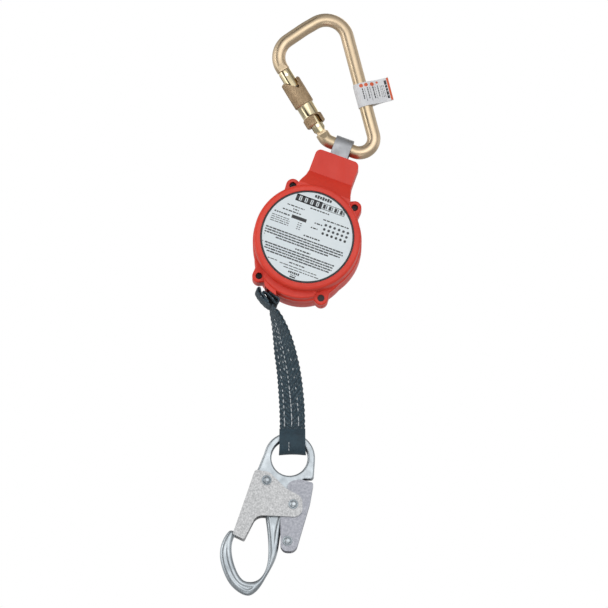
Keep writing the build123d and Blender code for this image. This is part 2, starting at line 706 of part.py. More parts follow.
with BuildPart() as webbing_loop:
    extrude(loop_section(WEB_T, BEND_Z - 3, SEWN_T / 2), amount=WEB_W / 2, both=True)
    extrude(loop_section(0, BEND_Z - 10, 0.3), amount=WEB_W, both=True, mode=Mode.SUBTRACT)
webbing_loop.part.label = "webbing_loop"
export_step(webbing_loop.part, "parts/webbing_loop.step")

with BuildPart() as wear_sleeve:
    extrude(loop_section(WEB_T + 1.2, BEND_Z - 3, SEWN_T / 2 + 1.2), amount=WEB_W / 2 + 0.6, both=True)
    extrude(loop_section(WEB_T + 0.02, BEND_Z - 3, SEWN_T / 2 + 0.02), amount=WEB_W, both=True,
            mode=Mode.SUBTRACT)
    split(bisect_by=Plane(origin=(0, 0, SLEEVE_TOP_Z), z_dir=(0, 0, 1)), keep=Keep.BOTTOM)
wear_sleeve.part.label = "wear_sleeve"
export_step(wear_sleeve.part, "parts/wear_sleeve.step")

# ---------------------------------------------------------------- snap hook
BOWL = [
    (-26, -42), (-22.3, -72), (-21, -94), (-24, -113), (-31, -122.6), (-38.5, -125), (-46, -123),
    (-52.5, -114), (-57.2, -98), (-56.8, -84), (-54, -77.5)]
BACK = [
    (-60.5, -74), (-66.8, -84), (-69.3, -96), (-66.5, -112), (-59, -127), (-49.5, -135.5), (-40.5, -138.3),
    (-33, -134), (-24, -121), (-13, -99), (-9.5, -80), (-4, -58), (7, -38), (11.5, -26)]
SHOULDER = [(14.5, -22.4), (22.6, -22.2), (24.2, -20.4), (25.4, -3)]
HINGE_STOP = [
    (-25, 5), (-29.5, -6), (-31.5, -11), (-36.4, -17.2), (-37.2, -20.4), (-35.4, -23.4), (-31.5, -26)]
with BuildPart() as hook_body:
    with BuildSketch(HOOK):
        with BuildLine():
            Spline(*BOWL)
            ThreePointArc(BOWL[-1], (-57.6, -73.0), BACK[0])
            Spline(*BACK)
            Polyline(BACK[-1], *SHOULDER, (0, 0), *HINGE_STOP, (-31, -30), BOWL[0])
        make_face()
        Circle(EYE_OUTER_R)
        Circle(EYE_R, mode=Mode.SUBTRACT)
    extrude(amount=HOOK_HALF_T, both=True)
    with BuildSketch(HOOK):
        with Locations(GATE_PIVOT, LEVER_PIVOT):
            Circle(2.58)
    extrude(amount=HOOK_HALF_T + 1, both=True, mode=Mode.SUBTRACT)
hook_body.part.label = "hook_body"
export_step(hook_body.part, "parts/hook_body.step")


def rounded_outline(corners):
    """A closed outline with a radius of its own at each corner, given as (x, y, radius)."""
    with BuildSketch(HOOK) as outline:
        with BuildLine():
            FilletPolyline(*[corner[:2] for corner in corners], radius=[corner[2] for corner in corners],
                           close=True)
        make_face()
    return outline.sketch


GATE_CORNERS = [
    (-34.2, -12.6, 3), (-20.0, -15.2, 7), (-4.0, -31.4, 30), (12.8, -40.6, 8.5), (13.2, -60.8, 8.5),
    (-33.0, -58.6, 10), (-45.2, -83.0, 1.5), (-56.6, -77.6, 1.5)]
with BuildPart() as hook_gate:
    extrude(rounded_outline(GATE_CORNERS), amount=PLATE_OUT, both=True)
    # The channel between the plates, open to the spine and to the hinge stop.
    with BuildSketch(HOOK):
        with BuildLine():
            Polyline(
                (-60, -5), (-60, -27), (-37.5, -27), (-52.6, -71), (-64, -71), (-64, -100), (30, -100),
                (30, -5), close=True)
        make_face()
    extrude(amount=PLATE_IN, both=True, mode=Mode.SUBTRACT)
    with BuildSketch(HOOK):
        with Locations(GATE_PIVOT, TAIL_STUD):
            Circle(2.5)
    extrude(amount=PLATE_OUT + 1, both=True, mode=Mode.SUBTRACT)
hook_gate.part.label = "hook_gate"
export_step(hook_gate.part, "parts/hook_gate.step")


def through_rivet(centre, shank_r, half_grip):
    """A rivet with a domed head on each face."""
    with BuildPart() as rivet:
        with BuildSketch(HOOK):
            with Locations(centre):
                Circle(shank_r)
        extrude(amount=half_grip + 0.5, both=True)
        for face in (1, -1):
            with BuildSketch(HOOK.offset(face * half_grip)):
                with Locations(centre):
                    Circle(4.7)
            extrude(amount=face * 1.7, taper=32)
    return rivet.part


gate_rivet = through_rivet(GATE_PIVOT, 2.5, PLATE_OUT)
gate_rivet.label = "gate_rivet"
export_step(gate_rivet, "parts/gate_rivet.step")
lever_rivet = through_rivet(LEVER_PIVOT, 2.5, LEVER_OUT)
lever_rivet.label = "lever_rivet"
export_step(lever_rivet, "parts/lever_rivet.step")

with BuildPart() as gate_studs:
    for face in (1, -1):
        with BuildSketch(HOOK.offset(face * (PLATE_IN + 0.05))):
            with Locations(TAIL_STUD):
                Circle(2.5)
        extrude(amount=face * (PLATE_OUT - PLATE_IN))
        with BuildSketch(HOOK.offset(face * PLATE_OUT)):
            with Locations(TAIL_STUD):
                Circle(4.7)
        extrude(amount=face * 1.7, taper=32)
gate_studs.part.label = "gate_studs"
export_step(gate_studs.part, "parts/gate_studs.step")

LEVER_CORNERS = [
    (-9.0, -57.0, 6), (-2.6, -42.0, 12), (-1.6, -25.0, 6), (10.5, -22.0, 12), (24.0, -25.8, 2.5),
    (20.5, -46.0, 40), (6.2, -95.0, 8), (-9.0, -94.6, 7)]
with BuildPart() as lock_lever:
    extrude(rounded_outline(LEVER_CORNERS), amount=LEVER_OUT, both=True)
    with BuildSketch(HOOK):
        with BuildLine():
            Polyline(
                (-20, -110), (-20, 0), (24, 0), (21.0, -31.0), (18.4, -46.0), (14.5, -60.0),
                (10.0, -74.0), (5.6, -87.0), (0, -97), close=True)
        make_face()
    extrude(amount=LEVER_IN, both=True, mode=Mode.SUBTRACT)
    with BuildSketch(HOOK):
        with Locations(LEVER_PIVOT):
            Circle(2.58)
    extrude(amount=LEVER_OUT + 1, both=True, mode=Mode.SUBTRACT)
lock_lever.part.label = "lock_lever"
export_step(lock_lever.part, "parts/lock_lever.step")

SPRING_SEAT = HOOK.from_local_coords((*GATE_PIVOT, HOOK_HALF_T + 0.55))
hook_gate_spring = helix_wire(3.6, 0.22, 0.55, 1.1, Plane(origin=SPRING_SEAT, z_dir=(0, -1, 0)))
hook_gate_spring.label = "hook_gate_spring"
export_step(hook_gate_spring, "parts/hook_gate_spring.step")
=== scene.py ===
import math
import random

import bmesh
import bpy
import numpy as np
from mathutils import Matrix, Vector
from mathutils.kdtree import KDTree


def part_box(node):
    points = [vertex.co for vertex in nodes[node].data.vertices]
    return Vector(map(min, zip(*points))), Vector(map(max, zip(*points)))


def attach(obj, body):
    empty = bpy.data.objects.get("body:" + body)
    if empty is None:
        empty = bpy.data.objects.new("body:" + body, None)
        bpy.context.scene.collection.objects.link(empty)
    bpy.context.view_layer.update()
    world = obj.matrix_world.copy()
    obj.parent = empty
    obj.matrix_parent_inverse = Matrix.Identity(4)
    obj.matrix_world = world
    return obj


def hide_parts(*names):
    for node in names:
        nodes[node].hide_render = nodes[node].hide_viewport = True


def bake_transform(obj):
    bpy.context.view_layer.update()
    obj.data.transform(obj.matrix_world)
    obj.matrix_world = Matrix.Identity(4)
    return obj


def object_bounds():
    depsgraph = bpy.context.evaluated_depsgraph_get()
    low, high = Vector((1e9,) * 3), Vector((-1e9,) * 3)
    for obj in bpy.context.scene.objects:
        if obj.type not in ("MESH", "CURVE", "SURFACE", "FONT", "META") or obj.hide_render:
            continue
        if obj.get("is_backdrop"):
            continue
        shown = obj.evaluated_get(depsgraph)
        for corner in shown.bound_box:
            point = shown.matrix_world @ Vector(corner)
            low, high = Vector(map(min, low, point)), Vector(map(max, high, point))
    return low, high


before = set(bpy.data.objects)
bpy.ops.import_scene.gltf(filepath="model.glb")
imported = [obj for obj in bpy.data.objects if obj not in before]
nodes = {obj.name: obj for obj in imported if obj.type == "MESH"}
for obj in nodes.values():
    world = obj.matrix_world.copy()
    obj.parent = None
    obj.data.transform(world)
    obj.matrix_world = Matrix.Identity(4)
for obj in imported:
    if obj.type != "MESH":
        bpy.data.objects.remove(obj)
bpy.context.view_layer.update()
MM = 0.001
scene = bpy.context.scene

# ------------------------------------------------------------------ camera, light, floor
AIM = Vector((-0.026, 0.0, -0.2828))
CAMERA_DISTANCE = 12.0
CAMERA_ELEVATION = math.radians(-10.0)
PICTURE_WIDTH = 0.608
SENSOR = 36.0

camera_data = bpy.data.cameras.new("camera")
camera = bpy.data.objects.new("camera", camera_data)
scene.collection.objects.link(camera)
back = Vector((0.0, -math.cos(CAMERA_ELEVATION), math.sin(CAMERA_ELEVATION)))
camera.location = AIM + back * CAMERA_DISTANCE
camera.rotation_mode = "QUATERNION"
camera.rotation_quaternion = (-back).to_track_quat("-Z", "Y")
camera_data.sensor_width = SENSOR
camera_data.lens = SENSOR * CAMERA_DISTANCE / PICTURE_WIDTH
camera_data.clip_end = 120.0
scene.camera = camera
scene.view_settings.view_transform = "Standard"
scene.view_settings.look = "None"


def area_light(name, place, target, size, power, colour=(1, 1, 1)):
    data = bpy.data.lights.new(name, "AREA")
    data.shape = "RECTANGLE"
    data.size, data.size_y = size
    data.energy = power
    data.color = colour
    lamp = bpy.data.objects.new(name, data)
    lamp.location = place
    lamp.rotation_mode = "QUATERNION"
    lamp.rotation_quaternion = (Vector(target) - Vector(place)).to_track_quat("-Z", "Y")
    scene.collection.objects.link(lamp)


# A broad soft box beside the camera, a strip on the left, and weak lights from behind and below.
area_light("key", (0.45, -1.7, -0.15), AIM, (1.6, 1.3), 5.5)
area_light("strip", (-1.5, -0.75, -0.1), AIM, (0.5, 1.6), 4)
area_light("rim", (0.5, 1.4, 0.9), AIM, (0.8, 0.8), 3)
area_light("low", (-0.2, -0.9, -1.5), AIM, (0.8, 0.5), 2)

# A white studio. The camera sees plain white, and the object reflects pale walls with dark gaps between them.
world = bpy.data.worlds.new("world")
scene.world = world
world.use_nodes = True
sky, background = world.node_tree, world.node_tree.nodes["Background"]
direction = sky.nodes.new("ShaderNodeTexCoord").outputs["Generated"]


def sky_ramp(value, stops):
    ramp = sky.nodes.new("ShaderNodeValToRGB")
    sky.links.new(value, ramp.inputs["Fac"])
    while len(ramp.color_ramp.elements) < len(stops):
        ramp.color_ramp.elements.new(0.5)
    for element, (place, level) in zip(ramp.color_ramp.elements, stops):
        element.position, element.color = place, (level, level, level, 1)
    return ramp.outputs["Color"]


def sky_mix(factor, first, second, blend="MIX"):
    mixed = sky.nodes.new("ShaderNodeMix")
    mixed.data_type, mixed.blend_type = "RGBA", blend
    for socket, value in zip((mixed.inputs[0], mixed.inputs[6], mixed.inputs[7]), (factor, first, second)):
        if isinstance(value, (float, tuple)):
            socket.default_value = value
        else:
            sky.links.new(value, socket)
    return mixed.outputs[2]


# Round the horizon, as a share of a turn: left 0, front 0.25, right 0.5, back 0.75.
bearing = sky.nodes.new("ShaderNodeTexGradient")
bearing.gradient_type = "RADIAL"
sky.links.new(direction, bearing.inputs["Vector"])
walls = sky_ramp(bearing.outputs["Fac"], [
    (0.0, 1.15), (0.075, 1.15), (0.105, 0.08), (0.17, 0.08), (0.2, 1.2), (0.39, 1.1), (0.43, 0.2),
    (0.49, 0.9), (0.62, 0.8), (0.75, 0.5), (0.9, 0.8), (1.0, 1.15)])
split_axes = sky.nodes.new("ShaderNodeSeparateXYZ")
sky.links.new(direction, split_axes.inputs[0])
rescale = sky.nodes.new("ShaderNodeMapRange")
rescale.inputs["From Min"].default_value = -1.0
sky.links.new(split_axes.outputs["Z"], rescale.inputs["Value"])
heights = sky_ramp(rescale.outputs["Result"], [
    (0.1, 0.5), (0.3, 0.75), (0.5, 1.0), (0.68, 0.85), (0.85, 0.5)])
studio = sky_mix(1.0, walls, heights, "MULTIPLY")
light_path = sky.nodes.new("ShaderNodeLightPath")
shown = sky_mix(light_path.outputs["Is Camera Ray"], studio, (1.0, 1.0, 1.0, 1.0))
sky.links.new(shown, background.inputs["Color"])
background.inputs["Strength"].default_value = 1.0

FLOOR_Z = -8.0


# ------------------------------------------------------------------ materials
class Shader:
    """A small builder for one node material on the Principled shader."""

    def __init__(self, name, metallic=0.0, roughness=0.5, **constants):
        self.material = bpy.data.materials.new(name)
        self.material.use_nodes = True
        self.tree = self.material.node_tree
        self.surface = self.tree.nodes["Principled BSDF"]
        self.surface.inputs["Metallic"].default_value = metallic
        self.surface.inputs["Roughness"].default_value = roughness
        for key, value in constants.items():
            self.surface.inputs[key.replace("_", " ").title().replace("Ior", "IOR")].default_value = value
        self.coordinates = self.tree.nodes.new("ShaderNodeTexCoord").outputs["Object"]

    def node(self, kind, **values):
        made = self.tree.nodes.new(kind)
        for key, value in values.items():
            setattr(made, key, value)
        return made

    def link(self, source, target):
        self.tree.links.new(source, target)

    def mapped(self, scale=(1, 1, 1), turn=(0, 0, 0)):
        made = self.node("ShaderNodeMapping")
        made.inputs["Scale"].default_value = scale
        made.inputs["Rotation"].default_value = turn
        self.link(self.coordinates, made.inputs["Vector"])
        return made.outputs["Vector"]

    def attribute(self, name):
        return self.node("ShaderNodeAttribute", attribute_name=name).outputs["Vector"]

    def noise(self, scale, detail, source=None):
        made = self.node("ShaderNodeTexNoise")
        made.inputs["Scale"].default_value = scale
        made.inputs["Detail"].default_value = detail
        made.inputs["Roughness"].default_value = 0.55
        self.link(source or self.coordinates, made.inputs["Vector"])
        return made.outputs["Fac"]

    def wave(self, scale, direction):
        made = self.node("ShaderNodeTexWave", wave_type="BANDS", bands_direction=direction)
        made.inputs["Scale"].default_value = scale
        self.link(self.coordinates, made.inputs["Vector"])
        return made.outputs["Fac"]

    def ramp(self, value, stops):
        made = self.node("ShaderNodeValToRGB")
        elements = made.color_ramp.elements
        while len(elements) < len(stops):
            elements.new(0.5)
        for element, (place, colour) in zip(elements, stops):
            element.position = place
            element.color = (*colour, 1)
        self.link(value, made.inputs["Fac"])
        return made.outputs["Color"]

    def span(self, value, low, high, from_low=0.3, from_high=0.7):
        made = self.node("ShaderNodeMapRange")
        made.inputs["From Min"].default_value = from_low
        made.inputs["From Max"].default_value = from_high
        made.inputs["To Min"].default_value = low
        made.inputs["To Max"].default_value = high
        self.link(value, made.inputs["Value"])
        return made.outputs["Result"]

    def maths(self, operation, first, second=0):
        made = self.node("ShaderNodeMath", operation=operation)
        for socket, value in zip(made.inputs, (first, second)):
            if isinstance(value, (int, float)):
                socket.default_value = value
            else:
                self.link(value, socket)
        return made.outputs[0]

    def mix(self, factor, first, second):
        made = self.node("ShaderNodeMix", data_type="RGBA")
        for socket, value in zip((made.inputs[0], made.inputs[6], made.inputs[7]), (factor, first, second)):
            if isinstance(value, (int, float)):
                socket.default_value = value
            elif isinstance(value, tuple):
                socket.default_value = (*value, 1)
            else:
                self.link(value, socket)
        return made.outputs[2]

    def colour(self, source):
        self.link(source, self.surface.inputs["Base Color"])

    def roughness(self, source):
        self.link(source, self.surface.inputs["Roughness"])

    def bump(self, *layers):
        """Each layer is (height, strength, distance in metres); they add up."""
        normal = None
        for height, strength, distance in layers:
            made = self.node("ShaderNodeBump")
            made.inputs["Strength"].default_value = strength
            made.inputs["Distance"].default_value = distance
            self.link(height, made.inputs["Height"])
            if normal is not None:
                self.link(normal, made.inputs["Normal"])
            normal = made.outputs["Normal"]
        self.link(normal, self.surface.inputs["Normal"])


def metal(name, dark, light, roughness, grain=900.0, grain_depth=0.00006, mottle=28.0, stretch=(1, 1, 1)):
    s = Shader(name, metallic=1.0)
    cloud = s.noise(mottle, 5.0)
    fine = s.noise(grain, 3.0, source=s.mapped(stretch))
    s.colour(s.mix(s.span(fine, 0.0, 0.35), s.ramp(cloud, [(0.32, dark), (0.68, light)]), dark))
    s.roughness(s.span(s.noise(mottle * 3, 6.0), roughness - 0.07, roughness + 0.09))
    s.bump((fine, 0.3, grain_depth), (cloud, 0.1, 0.00008))
    return s.material


def plastic(name, dark, light, roughness):
    s = Shader(name)
    cloud, fine = s.noise(18.0, 5.0), s.noise(1500.0, 2.0)
    scuffs = s.noise(120.0, 8.0, source=s.mapped((1, 1, 0.25), (0.3, 0.2, 0.6)))
    s.colour(s.mix(s.span(scuffs, 0.0, 0.12, 0.6, 0.75), s.ramp(cloud, [(0.3, dark), (0.7, light)]), light))
    s.roughness(s.span(scuffs, roughness - 0.05, roughness + 0.1))
    s.bump((fine, 0.25, 0.00008), (cloud, 0.15, 0.0004))
    return s.material
gold = metal("gold_steel", (0.62, 0.50, 0.33), (0.80, 0.62, 0.44), 0.36, mottle=22.0, grain_depth=0.00001)
polished_gold = metal("polished_gold", (0.60, 0.52, 0.32), (0.80, 0.68, 0.46), 0.13, mottle=60.0,
                      grain_depth=0.000004)
knurled_gold = metal("knurled_gold", (0.42, 0.30, 0.18), (0.60, 0.45, 0.29), 0.42, mottle=120.0,
                     grain_depth=0.00003)
zinc = metal("zinc_steel", (0.37, 0.41, 0.44), (0.56, 0.605, 0.635), 0.36, grain=700.0, mottle=50.0,
             grain_depth=0.00002)
plate_zinc = metal("plate_zinc", (0.33, 0.335, 0.34), (0.62, 0.625, 0.63), 0.42, grain=850.0, mottle=620.0,
                   grain_depth=0.00005)
rough_zinc = metal("rough_zinc", (0.30, 0.31, 0.35), (0.50, 0.51, 0.55), 0.48, grain=600.0,
                   grain_depth=0.00008, mottle=420.0)
bright_zinc = metal("bright_zinc", (0.62, 0.63, 0.63), (0.86, 0.86, 0.84), 0.18, mottle=70.0)
strap_zinc = metal("strap_zinc", (0.36, 0.37, 0.39), (0.52, 0.53, 0.55), 0.5, grain=500.0,
                   mottle=45.0, stretch=(1, 1, 0.12))
spring_steel = metal("spring_steel", (0.14, 0.14, 0.15), (0.36, 0.36, 0.37), 0.3, mottle=150.0)
aluminium = metal("aluminium", (0.60, 0.61, 0.62), (0.80, 0.80, 0.81), 0.32, grain=1200.0, mottle=60.0)
bronze = metal("bronze", (0.36, 0.23, 0.10), (0.58, 0.42, 0.22), 0.45, mottle=140.0)
red = plastic("red_plastic", (0.72, 0.033, 0.014), (0.84, 0.050, 0.022), 0.42)
black_plastic = plastic("black_plastic", (0.012, 0.012, 0.013), (0.03, 0.03, 0.031), 0.5)
black_steel = metal("black_steel", (0.012, 0.012, 0.013), (0.05, 0.05, 0.052), 0.4, mottle=200.0)


# Distances in the cloth, in millimetres: a yarn, a twill line, half a chevron, a broad rib, and a yarn of the
# wear sleeve.
YARN, TWILL, CHEVRON, RIB_PITCH, FINE_YARN = 0.62, 1.15, 4.2, 5.2, 0.5
TURN = 2 * math.pi


def split(s, source):
    """The parts of a vector. The weave attribute holds the places along and across a band, in millimetres."""
    parts = s.node("ShaderNodeSeparateXYZ")
    s.link(source, parts.inputs[0])
    return parts.outputs[0], parts.outputs[1], parts.outputs[2]


def finish_woven(s, u, v):
    """Twill webbing: fine yarns, slanting ribs with painted shade in the troughs of the broad ones, and light
    flecks, by u along the band and v across it.
    """
    dark, light = (0.005, 0.013, 0.020), (0.078, 0.142, 0.186)
    lengthwise = s.maths("SINE", s.maths("MULTIPLY", v, TURN / YARN))
    slant = s.maths("ADD", u, s.maths("PINGPONG", v, CHEVRON))
    ribs = s.maths("SINE", s.maths("MULTIPLY", slant, TURN / TWILL))
    yarn = s.maths("MULTIPLY", s.span(lengthwise, 0.25, 1.0, -1.0, 1.0), s.span(ribs, 0.2, 1.0, -1.0, 1.0))
    fluff = s.noise(2600.0, 2.0)
    cloud = s.noise(90.0, 4.0)
    base = s.ramp(yarn, [(0.05, dark), (0.75, light)])
    base = s.mix(s.span(cloud, 0.0, 0.35), base, dark)
    # Painted shade: the band is darkened in the troughs of the broad ribs, on the same pitch as the ribbon's
    # relief.
    from_middle = s.maths("ADD", u, s.maths("ABSOLUTE", v))
    rib_shade = s.maths("SINE", s.maths("MULTIPLY", from_middle, TURN / RIB_PITCH))
    base = s.mix(s.span(rib_shade, 0.6, 0.0, -0.9, 0.5), base, dark)
    yarns = s.node("ShaderNodeCombineXYZ")
    s.link(s.maths("MULTIPLY", u, 0.35), yarns.inputs[0])
    s.link(s.maths("MULTIPLY", v, 1.3), yarns.inputs[1])
    flecks = s.noise(1.0, 2.0, source=yarns.outputs[0])
    base = s.mix(s.span(flecks, 0.0, 0.7, 0.60, 0.68), base, (0.40, 0.45, 0.46))
    s.colour(s.mix(s.span(fluff, 0.0, 0.35, 0.55, 0.75), base, tuple(min(1, 2.0 * c) for c in light)))
    s.roughness(s.span(yarn, 0.92, 0.7, 0.0, 1.0))
    s.bump((yarn, 0.8, 0.00025), (fluff, 0.35, 0.00012))
    return s.material


WOVEN = {"roughness": 0.8, "sheen_weight": 0.08, "sheen_roughness": 0.5}
s = Shader("webbing", **WOVEN)
u, v, _ = split(s, s.attribute("weave"))
webbing = finish_woven(s, u, v)

# The pay-out band grows as it is pulled, so its weave follows its place and not its own mesh.
s = Shader("webbing_by_place", **WOVEN)
_, v, u = split(s, s.mapped((1000, 1000, 1000)))
webbing_by_place = finish_woven(s, u, v)

s = Shader("wear_cloth", roughness=0.6, sheen_weight=0.1, sheen_roughness=0.4)
u, v, _ = split(s, s.attribute("weave"))
checks = s.maths("MULTIPLY", s.maths("SINE", s.maths("MULTIPLY", u, TURN / FINE_YARN)),
                 s.maths("SINE", s.maths("MULTIPLY", v, TURN / FINE_YARN)))
soft = s.noise(140.0, 5.0)
s.colour(s.mix(s.span(checks, 0.0, 0.4, -1.0, 1.0),
               s.ramp(soft, [(0.3, (0.015, 0.037, 0.054)), (0.7, (0.034, 0.072, 0.100))]),
               (0.021, 0.045, 0.062)))
s.roughness(s.span(soft, 0.55, 0.78))
s.bump((checks, 0.5, 0.0001), (soft, 0.4, 0.0005))
wear_cloth = s.material

s = Shader("thread", roughness=0.75, sheen_weight=0.2)
twist = s.wave(900.0, direction="DIAGONAL")
tint = s.noise(400.0, 3.0)
s.colour(s.mix(s.span(twist, 0.0, 0.5, 0.0, 1.0),
               s.ramp(tint, [(0.3, (0.52, 0.56, 0.59)), (0.7, (0.80, 0.84, 0.87))]), (0.46, 0.50, 0.53)))
s.bump((twist, 0.6, 0.0002))
thread = s.material

s = Shader("label_film", roughness=0.3, coat_weight=0.35, coat_roughness=0.12)
film, speck = s.noise(30.0, 4.0), s.noise(1800.0, 2.0)
s.colour(s.mix(s.span(speck, 0.0, 0.08), s.ramp(film, [(0.3, (0.74, 0.82, 0.86)), (0.7, (0.80, 0.87, 0.90))]),
               (0.60, 0.68, 0.72)))
s.roughness(s.span(film, 0.26, 0.36))
s.bump((film, 0.2, 0.0004), (speck, 0.15, 0.00004))
label_film = s.material


def ink(name, dark, light, roughness=0.45):
    s = Shader(name, roughness=roughness)
    wearing, dots = s.noise(600.0, 4.0), s.noise(3000.0, 2.0)
    s.colour(s.mix(s.span(dots, 0.0, 0.25, 0.5, 0.8), s.ramp(wearing, [(0.35, dark), (0.75, light)]), light))
    s.roughness(s.span(wearing, roughness - 0.05, roughness + 0.1))
    s.bump((dots, 0.2, 0.00003))
    return s.material


black_ink = ink("black_ink", (0.012, 0.014, 0.016), (0.05, 0.055, 0.06))
grey_ink = ink("grey_ink", (0.03, 0.035, 0.04), (0.09, 0.10, 0.115))
orange_ink = ink("orange_ink", (0.70, 0.10, 0.03), (0.85, 0.17, 0.06))

s = Shader("tag_cloth", roughness=0.6, sheen_weight=0.1)
threads = s.maths("MULTIPLY", s.wave(700.0, direction="Y"), s.wave(700.0, direction="Z"))
crease = s.noise(70.0, 5.0)
s.colour(s.mix(s.span(threads, 0.0, 0.15, 0.0, 1.0),
               s.ramp(crease, [(0.3, (0.74, 0.75, 0.78)), (0.7, (0.88, 0.89, 0.90))]), (0.58, 0.60, 0.64)))
s.roughness(s.span(crease, 0.5, 0.7))
s.bump((threads, 0.3, 0.00006), (crease, 0.35, 0.0006))
tag_cloth = s.material

s = Shader("floor_paint", roughness=0.9)
s.colour(s.ramp(s.noise(0.6, 3.0), [(0.3, (0.80, 0.80, 0.80)), (0.7, (0.84, 0.84, 0.84))]))
floor_paint = s.material

CAD_FINISH = {
    gold: ["carabiner_body"],
    polished_gold: ["carabiner_gate"],
    bright_zinc: ["gate_hinge_pin", "gate_latch_pin", "gate_plunger"],
    plate_zinc: ["hook_gate"],
    zinc: ["gate_rivet", "gate_studs", "lever_rivet", "axle", "axle_nuts", "spring_arbor",
           "spring_cup", "ratchet_ring", "pressure_plate", "pawl_1", "pawl_2", "pawl_pins",
           "webbing_anchor_pin"],
    rough_zinc: ["lock_lever"],
    strap_zinc: ["load_strap"],
    spring_steel: ["gate_spring", "sleeve_spring", "recoil_spring", "disc_spring", "hook_gate_spring"],
    aluminium: ["drum_core", "drum_front_flange", "drum_rear_flange"],
    bronze: ["drum_bushings", "brake_disc"],
    red: ["front_cover", "rear_cover"],
    black_steel: ["cover_screws"],
    label_film: ["label_plate"],
    black_plastic: ["webbing_guide", "screw_plug"],
    webbing_by_place: ["webbing_coil", "webbing_lead", "lifeline_webbing", "stop_fold", "webbing_loop"],
    wear_cloth: ["wear_sleeve"],
    knurled_gold: ["lock_sleeve"],
    tag_cloth: ["carabiner_tag"],
}
for finish, names in CAD_FINISH.items():
    for name in names:
        data = nodes[name].data
        data.materials.clear()
        data.materials.append(finish)

# ------------------------------------------------------------------ webbing
# The route of the free lifeline, from the mouth to the bottom of the loop, by the points of the CAD band.
ROUTE = [(-59.5, -271.4), (-58.6, -279.0), (-57.6, -286.5), (-56.3, -291.0), (-52.8, -299.0), (-48.4, -314.0),
         (-45.2, -330.0), (-41.0, -352.0), (-38.4, -380.0), (-37.6, -396.4), (-37.6, -412.0), (-37.6, -426.0),
         (-37.6, -435.0)]
TWIST = [(-271.4, 0.0), (-286.0, 6.0), (-291.0, 13.0), (-299.0, 23.0), (-314.0, 38.0), (-330.0, 52.0),
         (-352.0, 63.0), (-380.0, 77.0), (-396.0, 88.0), (-412.0, 90.0), (-440.0, 90.0)]
WEB_WIDTH, WEB_THICK = 25.0, 1.75
BAR_Z, BIGHT_Z, LOOP_REACH = -417.45, -426.2, 8.3


def nurbs_points(points, resolution=24):
    """Points read from the NURBS curve of a route's control points, in millimetres."""
    curve = bpy.data.curves.new("route", "CURVE")
    curve.dimensions = "3D"
    curve.resolution_u = resolution
    spline = curve.splines.new("NURBS")
    spline.points.add(len(points) - 1)
    for point, place in zip(spline.points, points):
        point.co = (*(value * MM for value in place), 1.0)
    spline.order_u = 3
    spline.use_endpoint_u = True
    holder = bpy.data.objects.new("route", curve)
    scene.collection.objects.link(holder)
    bpy.context.view_layer.update()
    line = bpy.data.meshes.new_from_object(holder)
    found = np.array([v.co for v in line.vertices], float) / MM
    bpy.data.objects.remove(holder)
    return found


def resample(points, step):
    lengths = np.linalg.norm(np.diff(points, axis=0), axis=1)
    keep = np.concatenate(([True], lengths > 1e-6))
    points = points[keep]
    travelled = np.concatenate(([0.0], np.cumsum(np.linalg.norm(np.diff(points, axis=0), axis=1))))
    count = max(2, int(round(travelled[-1] / step)) + 1)
    wanted = np.linspace(0.0, travelled[-1], count)
    return np.stack([np.interp(wanted, travelled, points[:, k]) for k in range(3)], axis=1), wanted


def unit(vectors):
    return vectors / np.linalg.norm(vectors, axis=-1, keepdims=True)


def smooth_rows(values, passes=6):
    values = values.copy()
    for _ in range(passes):
        values[1:-1] = 0.25 * values[:-2] + 0.5 * values[1:-1] + 0.25 * values[2:]
    return values


def mesh_object(name, vertices, faces, material, smooth=True):
    mesh = bpy.data.meshes.new(name)
    mesh.from_pydata([tuple(v) for v in np.asarray(vertices) * MM], [], faces)
    mesh.validate()
    for polygon in mesh.polygons:
        polygon.use_smooth = smooth
    mesh.materials.append(material)
    made = bpy.data.objects.new(name, mesh)
    scene.collection.objects.link(made)
    return made


def ring_faces(rows, columns, first=0, wrap=False):
    """Quads between rings of vertices that follow each other; wrap joins the last ring to the first."""
    faces = []
    for row in range(rows if wrap else rows - 1):
        here, below = first + row * columns, first + (row + 1) % rows * columns
        for k in range(columns):
            m = (k + 1) % columns
            faces.append((here + k, here + m, below + m, below + k))
    return faces


def circle(radius, height, sides, x=0.0, y=0.0):
    turns = [TURN * k / sides for k in range(sides)]
    return [(x + radius * math.cos(t), y + radius * math.sin(t), height) for t in turns]


def weave_attribute(made, values):
    attribute = made.data.attributes.new("weave", "FLOAT_VECTOR", "POINT")
    attribute.data.foreach_set("vector", np.asarray(values, np.float32).ravel())


